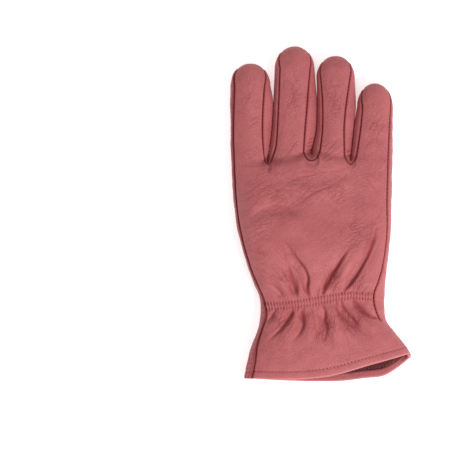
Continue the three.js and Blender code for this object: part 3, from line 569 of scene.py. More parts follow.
def finger_face(sections, f, face):
    """A finger's sections on one face, up to the short line that closes its tip."""
    x, y, _ = f["tip"]
    share = np.linspace(0, 1, len(sections[0][face]))
    tip_x = x + TIP_FLAT * (2 * np.round(share * TIP_POINTS) / TIP_POINTS - 1)
    line = np.stack(np.broadcast_arrays(tip_x, y, follow(FORM, y, "mid")), axis=-1)
    return np.stack([s[face] for s in sections] + [line])


TIP_ANGLES = np.linspace(0, TIP_LAST_ANGLE, TIP_ROWS + 1)[1:]
SECTIONS = [
    [finger_section(f, share) for share in np.linspace(0, 1, FINGER_ROWS + 1)]
    + [finger_section(f, 1.0, angle) for angle in TIP_ANGLES]
    for f in FINGERS
]
SEAMED_SECTIONS = FINGER_ROWS + 1 + int(np.sum(TIP_ANGLES <= SEAM_END_ANGLE)) + 1


def crotch_arc(start, end, depth, pointed=0.0, rise=0.0):
    """Points round the bottom of a crotch, from one finger's base to the next one's."""
    angle = np.pi * np.arange(1, CROTCH_COLUMNS) / CROTCH_COLUMNS
    points = lerp(start, end, ((1 - np.cos(angle)) / 2)[:, None])
    points[:, 1] -= depth * lerp(np.sin(angle), 1 - np.abs(np.cos(angle)), pointed)
    if rise:
        top = back_surface(points[:, 0], points[:, 1])
        points[:, 2] = lerp(points[:, 2], top, rise * np.sin(angle))
    return points


def base_line(face):
    """The base line of the four fingers, joined round the crotches."""
    parts = [SECTIONS[0][0][face]]
    for i, crotch in enumerate(CROTCHES):
        start, end = SECTIONS[i][0][face][-1], SECTIONS[i + 1][0][face][0]
        shape = (crotch["pointed"], CROTCH_RISE) if face == "back" else ()
        parts.append(crotch_arc(start, end, crotch[face], *shape))
        parts.append(SECTIONS[i + 1][0][face])
    return np.concatenate(parts)


def crowding(level):
    return MOUTH_CLUSTER if level["name"] == "mouth" else 1.0


# Each row of the hand as its level's number and its share of the way to the next level.
ROWS = [
    (number, (row / level["rows"]) ** crowding(level))
    for number, level in enumerate(LEVELS)
    for row in range(level["rows"])
]
ROW_OF = {level["name"]: ROWS.index((i, 0.0)) for i, level in enumerate(LEVELS)}


def even_places(count):
    """Places from 0 to 1, even but for a little crowding at both ends."""
    u = np.linspace(0, 1, count)
    width, shift = COLUMN_ENDS["width"], COLUMN_ENDS["shift"]
    places = u - shift * (1 - np.exp(-u / width)) + shift * (1 - np.exp(-(1 - u) / width))
    return (places - places[0]) / (places[-1] - places[0])


def hand_row(number, share, base, face):
    """A row of the hand's back or palm. The last rows run into the fingers' base line."""
    drop = 1.0 if face == "palm" else 0.0
    level = LEVELS[number]
    following = LEVELS[number + 1] if number + 1 < len(LEVELS) else None
    first, last = base[0], base[-1]

    def line_y(line, place):
        return across(line["y"], place) - drop * line["drop"] * across(MOUTH_DROP, place)

    ends = []
    for place, corner, side, way in ((0.0, first, INDEX_SIDE, 1), (1.0, last, LITTLE_SIDE, -1)):
        y = lerp(line_y(level, place), line_y(following, place) if following else corner[1], share)
        x = follow(side, y, "seam") if face == "back" else follow(side, y, "edge") + way * UNDER_INSET
        ends.append(x)
    parted = smoothstep(number + share, *COLUMNS_EVEN)
    place = lerp(even_places(len(base)), (base[:, 0] - first[0]) / (last[0] - first[0]), parted)
    x = lerp(ends[0], ends[1], place)
    y = lerp(line_y(level, place), line_y(following, place) if following else base[:, 1], share)
    if face == "back":
        return np.stack([x, y, back_surface(x, y)], axis=-1)
    blend = 0.0 if following else smoothstep(share, PALM_KNUCKLE_BLEND, 1)
    return np.stack([x, y, lerp(palm_height(x, y), base[:, 2], blend)], axis=-1)


def round_knuckles(rows, base):
    """Lets the roundness of the fingers' bases run out softly into the back of the hand."""
    drop = back_surface(base[:, 0], base[:, 1]) - base[:, 2]
    spacing = np.gradient(base[:, 0])
    for row in rows:
        below = base[:, 1] - row[:, 1]
        if below.min() > 3 * KNUCKLE_REACH:
            continue
        spread = KNUCKLE_SPREAD["start"] + KNUCKLE_SPREAD["growth"] * below[:, None]
        weights = bump(row[:, 0][:, None] - base[:, 0][None, :], spread) * spacing
        row[:, 2] -= (weights @ drop) / weights.sum(axis=1) * bump(below, KNUCKLE_REACH)


def hand_rows(face):
    base = base_line(face)
    rows = [hand_row(number, share, base, face) for number, share in ROWS]
    if face == "back":
        round_knuckles(rows, base)
    return np.stack(rows + [base])


def wall_rows(walls, columns):
    """Side walls as rows of points: the palm's seam first, the back's seam last."""
    share = 2 * clustered(columns) - 1
    back, edge, palm = (np.stack([w[k] for w in walls])[:, None, :] for k in ("back", "edge", "palm"))
    turn = np.array([w["turn"] for w in walls], dtype=float)[:, None]
    up = (share >= 0)[None, :]
    end = np.where(up[..., None], back, palm)
    run = np.hypot(end[..., 0] - edge[..., 0], end[..., 1] - edge[..., 1])
    whole = np.arccos(1 - np.clip(run / np.where(up, turn, UNDER_TURN), 0.02, 1))
    angle = whole * np.abs(share)
    level = (1 - np.cos(angle)) / (1 - np.cos(whole))
    height = np.sin(angle) / np.sin(whole)
    weights = np.stack([level, level, height], axis=-1)
    points = lerp(edge, end, weights)
    points[:, 0] = palm[:, 0]
    points[:, -1] = back[:, 0]
    return points


back_hand = hand_rows("back")
palm_flat = hand_rows("palm")


def nearest_index(values, wanted):
    return int(np.argmin(np.abs(np.asarray(values) - wanted)))


# The block of palm cells that the thumb's hole takes.
hole_rows = [
    nearest_index(palm_flat[:, PALM_FINGER_COLUMNS, 1], HOLE["y"] + way * HOLE["along"]) for way in (-1, 1)
]
hole_columns = [
    nearest_index(palm_flat[sum(hole_rows) // 2, :, 0], HOLE["x"] + way * HOLE["across"]) for way in (-1, 1)
]


def hole_share(i, block, margin):
    """Place of a row or column against the hole: -1 to 1 across it, up to reach over the margin."""
    low, high = block
    reach = HOLE["reach"] - 1
    below = -1 - reach * (low - i) / margin[0]
    above = 1 + reach * (i - high) / margin[1]
    return np.where(i < low, below, np.where(i > high, above, 2 * (i - low) / (high - low) - 1))


def round_hole(rows):
    """Draws the grid round the hole into a leaning oval that fades into the straight rows."""
    count, width = rows.shape[:2]
    ys = rows[:, PALM_FINGER_COLUMNS, 1]
    before = hole_rows[0] - nearest_index(ys, ys[hole_rows[0]] - HOLE_MARGIN_MM["rows"][0])
    after = nearest_index(ys, ys[hole_rows[1]] + HOLE_MARGIN_MM["rows"][1]) - hole_rows[1]
    xs = rows[sum(hole_rows) // 2, :, 0]
    beside = nearest_index(xs, xs[hole_columns[1]] + HOLE_MARGIN_MM["column"]) - hole_columns[1]
    q = hole_share(np.arange(count), hole_rows, (before, after))[:, None]
    p = hole_share(np.arange(width), hole_columns, (hole_columns[0], beside))[None, :]
    p, q = np.broadcast_arrays(p, q)
    outside = np.maximum(np.maximum(np.abs(p), np.abs(q)), 1e-9)
    u, v = p / outside, q / outside
    over = (HOLE["across"] * outside * u * np.sqrt(1 - v * v / 2))[..., None]
    up = (HOLE["along"] * outside * v * np.sqrt(1 - u * u / 2))[..., None]
    lean = math.radians(HOLE["lean"])
    oval = np.array([HOLE["x"], HOLE["y"], 0]) + over * sideways(lean) + up * ahead(lean)
    x, y, _ = np.moveaxis(lerp(oval, rows, smoothstep(outside, 1, HOLE["reach"])[..., None]), -1, 0)
    moved = np.stack([x, y, palm_height(x, y)], axis=-1)
    result = np.where((outside < HOLE["reach"])[..., None], moved, rows)
    result[-1] = rows[-1]
    return result


palm_hand = round_hole(palm_flat)


# The skin: welded sheets of points, cut apart into panels along their seams.


def grid_faces(grid, skipped=None):
    """Two triangles for each cell of a grid of point numbers, but for the skipped cells."""
    corners = np.stack([grid[:-1, :-1], grid[:-1, 1:], grid[1:, 1:], grid[1:, :-1]], axis=-1)
    corners = corners.reshape(-1, 4) if skipped is None else corners[~skipped]
    return np.concatenate([corners[:, [0, 1, 2]], corners[:, [0, 2, 3]]])


class Skin:
    """All the leather as one skin. Each sheet belongs to a panel."""

    def __init__(self):
        self.sheets = []

    def sheet(self, panel, points, thickness=LEATHER, raised=0.0, skipped=None):
        shape = points.shape[:2]
        self.sheets.append({
            "panel": panel,
            "points": points,
            "thickness": np.broadcast_to(thickness, shape),
            "raised": np.broadcast_to(raised, shape),
            "skipped": skipped,
        })
        return len(self.sheets) - 1

    def weld(self):
        flat = np.concatenate([s["points"].reshape(-1, 3) for s in self.sheets])
        keys = np.round(flat * 1e4).astype(np.int64)
        _, first, numbers = np.unique(keys, axis=0, return_index=True, return_inverse=True)
        numbers = numbers.reshape(-1)
        self.points = flat[first]
        self.thickness = np.concatenate([s["thickness"].reshape(-1) for s in self.sheets])[first]
        raised = np.concatenate([s["raised"].reshape(-1) for s in self.sheets])
        self.raised = np.zeros(len(first))
        np.add.at(self.raised, numbers, raised)
        self.raised /= np.bincount(numbers, minlength=len(first))
        faces, start = {}, 0
        for s in self.sheets:
            rows, columns = s["points"].shape[:2]
            grid = numbers[start:start + rows * columns].reshape(rows, columns)
            s["grid"] = grid
            start += rows * columns
            faces.setdefault(s["panel"], []).append(grid_faces(grid, s["skipped"]))
        self.faces = {}
        for panel, parts in faces.items():
            tris = np.concatenate(parts)
            distinct = (tris[:, 0] != tris[:, 1]) & (tris[:, 1] != tris[:, 2]) & (tris[:, 2] != tris[:, 0])
            self.faces[panel] = tris[distinct]
        self.normals = vertex_normals(self.points, np.concatenate(list(self.faces.values())))


def vertex_normals(points, tris):
    """Normals weighted by each corner's angle."""
    normals = np.zeros_like(points)
    corners = [points[tris[:, k]] for k in range(3)]
    flat = unit(np.cross(corners[1] - corners[0], corners[2] - corners[0]))
    for k in range(3):
        one = corners[(k + 1) % 3] - corners[k]
        two = corners[(k + 2) % 3] - corners[k]
        lengths = np.linalg.norm(one, axis=1) * np.linalg.norm(two, axis=1)
        cosine = np.sum(one * two, axis=1) / np.maximum(lengths, 1e-12)
        np.add.at(normals, tris[:, k], flat * np.arccos(np.clip(cosine, -1, 1))[:, None])
    return unit(normals)


def open_edges(tris):
    """Directed edges of the triangles that have no partner."""
    edges = np.concatenate([tris[:, [0, 1]], tris[:, [1, 2]], tris[:, [2, 0]]]).astype(np.int64)
    size = int(tris.max()) + 1
    key, back = edges[:, 0] * size + edges[:, 1], edges[:, 1] * size + edges[:, 0]
    return edges[~np.isin(key, back)]


def closed_shell(tris, count):
    """Faces of a shell: an outer skin, the same turned over inside it, and the rim between them."""
    start, end = open_edges(tris).T
    rim = [np.stack([end, start, start + count], 1), np.stack([end, start + count, end + count], 1)]
    return np.concatenate([tris, tris[:, [0, 2, 1]] + count, *rim])


skin = Skin()


def hem_profile(rows):
    """Thickness and shape of the hem for each point of the hand's rows, by distance from the mouth."""
    distance = np.zeros(rows.shape[:2])
    steps = np.linalg.norm(rows[1:] - rows[:-1], axis=-1)
    distance[1:] = np.cumsum(steps, axis=0)
    low, high = HEM_WIDTH - HEM_STEP["before"], HEM_WIDTH + HEM_STEP["after"]
    hem = lerp(HEM_LEATHER, LEATHER, smoothstep(distance, low, high))
    roll = rounded(distance, HEM_ROUND)
    raised = -(1 - roll) * HEM_LEATHER / 2
    raised = raised - HEM_STITCH["depth"] * bump(distance - HEM_WIDTH, HEM_STITCH["width"])
    raised = raised + HEM_PUFF["height"] * bump(distance - HEM_WIDTH / 2, HEM_PUFF["width"])
    return hem * np.maximum(roll, HEM_EDGE), raised


RIB_PITCH = 2.1
RIB_DEPTH = 0.46
BAND = {"reach": 1.5, "stitch": 0.4, "stitch_width": 0.8, "puff": 0.3, "free_end": 3.0}


def band_ribs(rows):
    """Short ribs between the two rows of stitches at the wrist, with puckers that fade beyond them."""
    low, high = ROW_OF["band_lower"], ROW_OF["band_upper"]
    along = lengths_along(rows[low, :, :2])
    number = np.arange(len(rows))[:, None]
    y = rows[..., 1]
    below, above = rows[low, :, 1][None, :] - y, y - rows[high, :, 1][None, :]
    beyond = np.maximum(np.maximum(below, above), 0)
    inside = (number >= low) & (number <= high)
    ribs = RIB_DEPTH * np.cos(2 * np.pi * along / RIB_PITCH + np.pi)
    fade = np.where(inside, 1.0, bump(beyond, BAND["reach"]))
    stitched = BAND["stitch"] * (bump(below, BAND["stitch_width"]) + bump(above, BAND["stitch_width"]))
    held = 1 - smoothstep(along, along[-1] - BAND["free_end"], along[-1])
    return (ribs * fade - stitched + BAND["puff"] * inside) * held


back_thickness, back_raised = hem_profile(back_hand)
palm_thickness, palm_raised = hem_profile(palm_hand)
BACK_SHEET = skin.sheet("back_panel", back_hand, back_thickness, back_raised + band_ribs(back_hand))
for sections, f in zip(SECTIONS, FINGERS):
    skin.sheet("back_panel", finger_face(sections, f, "back"))

in_hole = np.zeros((palm_hand.shape[0] - 1, palm_hand.shape[1] - 1), dtype=bool)
in_hole[slice(*hole_rows), slice(*hole_columns)] = True
palm_faces = (values[:, ::-1] for values in (palm_hand, palm_thickness, palm_raised, in_hole))
PALM_SHEET = skin.sheet("palm_panel", *palm_faces)
for sections, f in zip(SECTIONS, FINGERS):
    skin.sheet("palm_panel", finger_face(sections, f, "palm")[:, ::-1])


def finger_wall(section, pick):
    """One side of a finger's section: the first one for 0, the last one for -1."""
    wall = {face: section[face][pick] for face in ("back", "edge", "palm")}
    return {**wall, "turn": section["turn"]}


def lap_walls(side, pick):
    """The palm panel's lap round one outer side of the hand."""
    walls = []
    for back_row, palm_row in zip(back_hand[:-1], palm_hand[:-1]):
        back, palm = back_row[pick], palm_row[pick]
        y = (back[1] + palm[1]) / 2
        x = follow(side, y, "edge")
        edge = np.array([x, y, follow(FORM, y, "mid") + wall_lift(x, y)])
        walls.append({"back": back, "edge": edge, "palm": palm, "turn": follow(FORM, y, "turn")})
    return walls + [finger_wall(section, pick) for section in SECTIONS[pick]]


def lap_sheet(side, pick, turned):
    """Adds one lap. Its hem runs over from the palm's thickness to the back's."""
    points = wall_rows(lap_walls(side, pick), WALL_COLUMNS)
    ramp = np.linspace(0, 1, points.shape[1])[None, :]
    fingers = np.zeros((len(points) - len(back_hand) + 1, 1))

    def run_over(palm, back, at_fingers):
        ends = [np.concatenate([face[:-1, [pick]], fingers + at_fingers]) for face in (palm, back)]
        return lerp(*ends, ramp)[:, ::turned]

    thick = run_over(palm_thickness, back_thickness, LEATHER)
    return skin.sheet("palm_panel", points[:, ::turned], thick, run_over(palm_raised, back_raised, 0.0))


INDEX_LAP = lap_sheet(INDEX_SIDE, 0, 1)
lap_sheet(LITTLE_SIDE, -1, -1)


def fourchette(i, crotch):
    """A strip down one finger's side, round the crotch and up the next finger's side."""
    down = [finger_wall(s, -1) for s in SECTIONS[i][:SEAMED_SECTIONS]][::-1]
    up = [finger_wall(s, 0) for s in SECTIONS[i + 1][:SEAMED_SECTIONS]]
    start, end = down[-1], up[0]
    arcs = {
        face: crotch_arc(start[face], end[face], crotch[face], *shape)
        for face, shape in (("back", (crotch["pointed"], CROTCH_RISE)), ("edge", ()), ("palm", ()))
    }
    bottom = [
        {**{face: arc[n] for face, arc in arcs.items()}, "turn": start["turn"]}
        for n in range(CROTCH_COLUMNS - 1)
    ]
    return wall_rows(down + bottom + up, FOURCHETTE_COLUMNS)


for i, crotch in enumerate(CROTCHES):
    skin.sheet("fourchette_" + crotch["name"], fourchette(i, crotch))


def thumb_rings():
    """Rings from the hole's rim round the fold and forward under the palm to the tip."""
    (r0, r1), (c0, c1) = hole_rows, hole_columns
    rim = [(r0, c) for c in range(c0, c1)] + [(r, c1) for r in range(r0, r1)]
    rim += [(r1, c) for c in range(c1, c0, -1)] + [(r, c0) for r in range(r1, r0, -1)]
    start = np.array([palm_hand[r, c] for r, c in rim])
    hole_lean, lean = math.radians(HOLE["lean"]), math.radians(THUMB_LEAN)
    middle, up = np.array([HOLE["x"], HOLE["y"], 0]), np.array([0, 0, 1])
    over, along = (start - middle) @ sideways(hole_lean), (start - middle) @ ahead(hole_lean)
    turns = np.arctan2(along / HOLE["along"], over / HOLE["across"])[:, None]
    root = middle + HOLE["along"] * ahead(hole_lean)

    def ring(at):
        advance, tilt, half, through, top = (float(follow(THUMB, at, name)) for name in THUMB if name != "y")
        turned = lerp(hole_lean, lean, float(smoothstep(advance, 0, THUMB_BEND)))
        upward = ahead(turned) * math.cos(math.radians(tilt)) + up * math.sin(math.radians(tilt))
        centre = root + ahead(lean) * advance + up * top - upward * through
        return centre + half * np.cos(turns) * sideways(turned) + through * np.sin(turns) * upward

    rings = [start]
    for at in np.linspace(0, THUMB["y"][-1], THUMB_RINGS + 1)[1:]:
        points = ring(at) + (start - ring(0.0)) * (1 - smoothstep(at, 0, THUMB_RIM_FADE))
        points[:, 2] = np.maximum(points[:, 2] - THUMB_FLOOR * smoothstep(at, 0, 1), 0)
        rings.append(points)
    rings[-1] = np.broadcast_to(rings[-1].mean(axis=0), start.shape)
    rings = np.stack(rings)
    return np.concatenate([rings, rings[:, :1]], axis=1)[:, ::-1]


skin.sheet("thumb", thumb_rings())
skin.weld()


# Detail on the leather.


LAP = {"x": -38, "y": 98}  # the lapped seam lies on this side of X, up to this Y


def seam_lines():
    """The seams as welded edges, apart for the lapped seam on the index side and for the others."""
    owners = {}
    for panel, tris in skin.faces.items():
        for a, b in open_edges(tris):
            owners.setdefault((min(a, b), max(a, b)), []).append(panel)
    lines = {"lap": [], "plain": [], "mouth": []}
    for edge, panels in owners.items():
        x, y, _ = skin.points[list(edge)].mean(axis=0)
        lapped = set(panels) == {"back_panel", "palm_panel"} and x < LAP["x"] and y < LAP["y"]
        kind = "mouth" if len(panels) < 2 else "lap" if lapped else "plain"
        lines[kind].append(edge)
    return {kind: np.array(edges) for kind, edges in lines.items()}


def distance_to(edges, points, reach=12.0):
    """Distance from each point to the nearest of some welded edges."""
    ends = np.unique(edges)
    tree = KDTree(len(ends))
    for number, vertex in enumerate(ends):
        tree.insert(skin.points[vertex], number)
    tree.balance()
    touching = [[] for _ in ends]
    place = {int(v): n for n, v in enumerate(ends)}
    for number, (a, b) in enumerate(edges):
        touching[place[int(a)]].append(number)
        touching[place[int(b)]].append(number)
    most = max(len(t) for t in touching)
    beside = np.array([t + t[:1] * (most - len(t)) for t in touching])
    found = np.array([tree.find(Vector(p))[1] for p in points])
    result = np.full(len(points), reach)
    for k in range(most):
        a, b = (skin.points[edges[beside[found, k], end]] for end in (0, 1))
        piece = b - a
        t = np.sum((points - a) * piece, axis=1) / np.maximum(np.sum(piece * piece, axis=1), 1e-12)
        nearest = a + piece * np.clip(t, 0, 1)[:, None]
        result = np.minimum(result, np.linalg.norm(points - nearest, axis=1))
    return result


SEAMS = seam_lines()
DISTANCE = {name: distance_to(edges, skin.points) for name, edges in SEAMS.items()}

rng = np.random.default_rng(20)


def waves(points, count, shortest, longest):
    """Soft unevenness from a few crossing waves, about -1 to 1."""
    total = np.zeros(len(points))
    for _ in range(count):
        length = rng.uniform(shortest, longest)
        direction = rng.normal(size=3)
        direction /= np.linalg.norm(direction)
        total += np.sin(points @ direction * (2 * np.pi / length) + rng.uniform(0, 2 * np.pi))
    return total / math.sqrt(count)


# Where fine creases gather on the back: centre, half sizes, strength.
ZONES = {
    "fan_creases": [
        (-24, -40, 9, 20, 1.0),
        (9, -46, 7, 9, 0.8),
        (28, -48, 9, 10, 0.8),
        (-44, -50, 8, 8, 0.6),
        (-28, -80, 12, 12, 0.9),
        (1, -80, 10, 15, 0.9),
        (22, -76, 11, 11, 0.9),
    ],
    "slant_creases": [
        (-36, 6, 22, 26, 0.9),
        (0, 18, 40, 12, 0.9),
        (28, -8, 18, 28, 0.9),
        (6, -14, 20, 14, 0.5),
        (-46, -24, 12, 18, 0.7),
        (-50, 44, 9, 12, 0.6),
        (-22, 52, 10, 10, 0.8),
        (6, 48, 12, 8, 0.9),
        (38, 38, 12, 10, 0.7),
        (-30, -96, 24, 10, 0.7),
        (14, -98, 30, 10, 0.6),
    ],
    "length_creases": [
        (-52, 80, 8, 22, 0.8),
        (-20, 84, 8, 22, 1.0),
        (10, 82, 8, 20, 1.0),
        (40, 62, 8, 18, 1.0),
    ],
}
# How the fine creases by the band fan out above and below it.
FAN = {"spread": 0.036, "lean": 0.29, "above": -58.0, "below": -66.0}


def zone_mask(zones, x, y):
    total = np.zeros(len(x))
    for cx, cy, half_x, half_y, strength in zones:
        total += strength * np.exp(-((x - cx) / half_x) ** 2 - ((y - cy) / half_y) ** 2)
    return np.clip(total, 0, 1)


def fan_places(x, y):
    """Places in metres that spread like the gathers above and below the band."""
    away = np.maximum(np.maximum(y - FAN["above"], FAN["below"] - y), 0)
    spread = 1 + FAN["spread"] * away
    over = (x + FAN["lean"] * away) / spread
    along = np.log(spread) / FAN["spread"] * np.where(y > FAN["below"], 1, -1)
    return np.stack([over, along, np.zeros(len(x))], axis=-1) * MM


def path(points, pieces=5):
    """A smooth line through a few points."""
    points = np.array(points, dtype=float)
    before, after = 2 * points[:1] - points[1:2], 2 * points[-1:] - points[-2:-1]
    padded = np.concatenate([before, points, after])
    t = np.linspace(0, 1, pieces, endpoint=False)[:, None]
    parts = []
    for a, b, c, d in zip(padded, padded[1:], padded[2:], padded[3:]):
        bend = t * t * (a - 2.5 * b + 2 * c - 0.5 * d) + t ** 3 * (1.5 * (b - c) + 0.5 * (d - a))
        parts.append(b + 0.5 * t * (c - a) + bend)
    return np.concatenate(parts + [points[-1:]])


def near_box(line, x, y, margin):
    low, high = line.min(axis=0) - margin, line.max(axis=0) + margin
    return (x > low[0]) & (x < high[0]) & (y > low[1]) & (y < high[1])


def among_all(near, values):
    """The values of the points that are near a line, and 0 for all the others."""
    result = np.zeros(len(near))
    result[near] = values
    return result


def fold_relief(fold, x, y):
    """How far one fold lowers the leather, less its lips, its line's painted shade, and where along it."""
    points, depth, width, darkness, *lean = fold
    line = path(points)
    near = near_box(line, x, y, FOLD_REACH)
    distance, along = nearest_on(line, x[near], y[near])
    flank = VALLEY["width"] * width
    if lean:
        flank = np.where(distance * lean[0] > 0, abs(lean[0]), STEEP_FLANK * flank)
    distance = np.abs(distance)
    place, spread = FOLD_LIPS["place"] * width, FOLD_LIPS["width"] * width
    lips = FOLD_LIPS["height"] * bump(distance - place, spread)
    sharp = np.exp(-distance / (VALLEY["sharp"] * width))
    valley = lerp(sharp, bump(distance, flank), VALLEY["share"])
    dark = darkness * bump(distance, FOLD_DARK * width)
    return [among_all(near, values) for values in (depth * (valley - lips), dark, along)]


def from_the_band(along):
    """A fold starts at the band, almost at once at full strength, and runs out."""
    opened = lerp(FOLD_START["strength"], 1, smoothstep(along, 0, FOLD_START["length"]))
    return (1 - smoothstep(along, FOLD_FADES, 1)) * opened


def from_both_ends(along):
    """A crease fades at both ends."""
    return np.sin(np.pi * np.clip(along, 0.0, 1.0)) ** CREASE_ENDS


def all_folds(folds, strength, x, y):
    """How far some folds lower the leather together, and how dark their lines of painted shade are."""
    total, lines = np.zeros(len(x)), np.zeros(len(x))
    for fold in folds:
        relief, dark, along = fold_relief(fold, x, y)
        shown = strength(along)
        total += relief * shown
        lines = np.maximum(lines, dark * shown)
    return total, lines


def swell_relief(swell, x, y):
    points, height, width = swell
    line = path(points)
    near = near_box(line, x, y, 3 * width)
    distance, along = nearest_on(line, x[near], y[near])
    shown = smoothstep(along, 0, SWELL_ENDS) * (1 - smoothstep(along, 1 - SWELL_ENDS, 1))
    return among_all(near, height * bump(distance, width) * shown)


GROOVE = {"depth": 0.9, "width": 0.65, "lip": 0.14, "lip_place": 1.6, "lip_width": 0.8}


def groove(distance):
    """Profile of a sewn seam: the leather turns in, between two slightly raised lips."""
    lips = GROOVE["lip"] * bump(distance - GROOVE["lip_place"], GROOVE["lip_width"])
    return lips - GROOVE["depth"] * bump(distance, GROOVE["width"])


# Small pleats where a finger's strip is squeezed at its crotch: y, strip, from x, to x, depth.
PLEATS = [
    (42.6, "fourchette_middle_ring", -10.6, -6.4, 0.45),
    (45.2, "fourchette_middle_ring", -11.2, -6.2, 0.5),
    (47.8, "fourchette_middle_ring", -10.8, -5.6, 0.45),
    (50.6, "fourchette_middle_ring", -10.0, -5.0, 0.35),
    (53.4, "fourchette_middle_ring", -9.0, -4.6, 0.25),
    (44.6, "fourchette_ring_little", 18.0, 22.0, 0.5),
    (41.6, "fourchette_ring_little", 18.6, 21.6, 0.3),
]
# Up to which y the walls of two fingers touch.
TOUCHING = {"index_middle": 80, "middle_ring": 88, "ring_little": 70}
# Painted shade where two touching walls meet: from how far above the middle, and over which lengths it
# fades.
BETWEEN_FINGERS = {"above": 2.2, "depth": 2.4, "fade": 4, "darkness": 1.3}
PLEAT = {"lean": 0.25, "width": 0.55, "ends": 1}
# The little finger side's seam turns under below this line.
HIDDEN_SEAM = {"x": 36.0, "y": -74.5, "fade": 3.0}
PUCKERS = {"strength": 0.35, "pitch": 2.6}
# Unevenness: height, share of it in the fingers' strips, waves, their lengths, fade at the seams.
UNEVEN = {"height": 0.16, "in_strips": 0.25, "waves": (18, 7, 22), "fade": 4}
FOLDS_CLEAR_SEAMS = 2  # folds fade over this distance from a seam
# Strengths of the painted shade along the fine creases and in the band's rib valleys.
THIN_DARKNESS = 1.5
RIB_DARKNESS = 0.75
LAP_GROOVE = {"depth": 0.55, "width": 0.9}
# The lap's upper layer: its height, where it steps down, and its rounded edge at the seam.
LAP_LAYER = {"reach": 11, "height": 0.4, "step": (6.5, 9), "edge": 0.7}
LAP_SHADE = {"darkness": 0.3, "fade": (1.5, 4)}
SEAM_SHADE = {"strength": 1.15, "plain": 0.68, "lap": 0.85, "even": 0.7, "puckered": 0.3}


def detail_of(panel, used):
    """How far a panel's surface stands out, its painted shade and how much of a seam it shows."""
    points = skin.points[used]
    x, y = points[:, 0], points[:, 1]
    plain, lap = DISTANCE["plain"][used], DISTANCE["lap"][used]
    hidden = smoothstep(HIDDEN_SEAM["y"] - y, 0, HIDDEN_SEAM["fade"]) * (x > HIDDEN_SEAM["x"])
    puckers = 1 + PUCKERS["strength"] * np.cos(2 * np.pi * y / PUCKERS["pitch"])
    raised = skin.raised[used] + groove(plain) * puckers * (1 - hidden)
    height = UNEVEN["height"] * (UNEVEN["in_strips"] if panel.startswith("fourchette") else 1.0)
    seam_distance = np.minimum(plain, lap)
    raised += height * waves(points, *UNEVEN["waves"]) * smoothstep(seam_distance, 0, UNEVEN["fade"])
    creased = np.zeros(len(points))
    if panel == "back_panel":
        folds, lines = all_folds(FOLDS, from_the_band, x, y)
        fine, thin = all_folds(CREASES, from_both_ends, x, y)
        folds = (folds + fine) * smoothstep(seam_distance, 0, FOLDS_CLEAR_SEAMS)
        swells = sum(swell_relief(w, x, y) for w in SWELLS)
        raised += swells - folds
        # Painted shade along the fold and crease lines, and in the band's rib valleys.
        creased = np.maximum(lines, thin * THIN_DARKNESS)
        creased = np.maximum(creased, RIB_DARKNESS * np.clip(-skin.raised[used] / RIB_DEPTH, 0, 1))
        raised -= LAP_GROOVE["depth"] * bump(lap, LAP_GROOVE["width"])
    elif panel == "palm_panel":
        layer = LAP_LAYER["height"] * (1 - smoothstep(lap, *LAP_LAYER["step"]))
        edge = LAP_LAYER["edge"] * (1 - rounded(lap, LAP_LAYER["edge"]))
        raised += np.where(lap < LAP_LAYER["reach"], layer - edge, 0)
        creased = LAP_SHADE["darkness"] * (1 - smoothstep(lap, *LAP_SHADE["fade"]))
    for name, touch in TOUCHING.items():
        if panel == "fourchette_" + name:
            # Painted shade deep between two touching fingers.
            depth = follow(FORM, y, "mid") + BETWEEN_FINGERS["above"] - points[:, 2]
            creased = BETWEEN_FINGERS["darkness"] * smoothstep(depth, 0, BETWEEN_FINGERS["depth"])
            fade = BETWEEN_FINGERS["fade"]
            creased = creased * (1 - smoothstep(y, touch - fade, touch + fade))
    for pleat_y, fourchette_name, low, high, depth in PLEATS:
        if panel == fourchette_name:
            where = smoothstep(x, low, low + PLEAT["ends"]) * (1 - smoothstep(x, high - PLEAT["ends"], high))
            cut = bump(y - pleat_y - PLEAT["lean"] * (x - low), PLEAT["width"]) * where
            raised -= depth * cut
            # Painted shade in the pleat's valley.
            creased = np.maximum(creased, cut)
    plain_line = bump(plain, SEAM_SHADE["plain"]) * (1 - hidden)
    seam = SEAM_SHADE["strength"] * np.maximum(plain_line, bump(lap, SEAM_SHADE["lap"]))
    seam = seam * (SEAM_SHADE["even"] + SEAM_SHADE["puckered"] * puckers)
    return raised, np.clip(creased, 0, 1), np.clip(seam, 0, 1)


def build_mesh(name, points, tris, attributes=None):
    mesh = bpy.data.meshes.new(name)
    mesh.vertices.add(len(points))
    mesh.vertices.foreach_set("co", (points * MM).astype(np.float32).ravel())
    mesh.loops.add(len(tris) * 3)
    mesh.loops.foreach_set("vertex_index", tris.astype(np.int32).ravel())
    mesh.polygons.add(len(tris))
    mesh.polygons.foreach_set("loop_start", np.arange(0, len(tris) * 3, 3, dtype=np.int32))
    mesh.polygons.foreach_set("use_smooth", np.ones(len(tris), dtype=bool))
    for key, values in (attributes or {}).items():
        kind, field = ("FLOAT_VECTOR", "vector") if values.ndim > 1 else ("FLOAT", "value")
        layer = mesh.attributes.new(key, kind, "POINT")
        layer.data.foreach_set(field, values.astype(np.float32).ravel())
    mesh.update(calc_edges=True)
    mesh.validate()
    obj = bpy.data.objects.new(name, mesh)
    bpy.context.scene.collection.objects.link(obj)
    return obj


# The inside shows its flesh side from the turned hem on, and the rolled edge gets a painted highlight.
FLESH_EDGE = 0.3
EDGE_HIGHLIGHT_WIDTH = 1.0
# The finished faces of each panel, which the stitches follow.
OUTER = {}


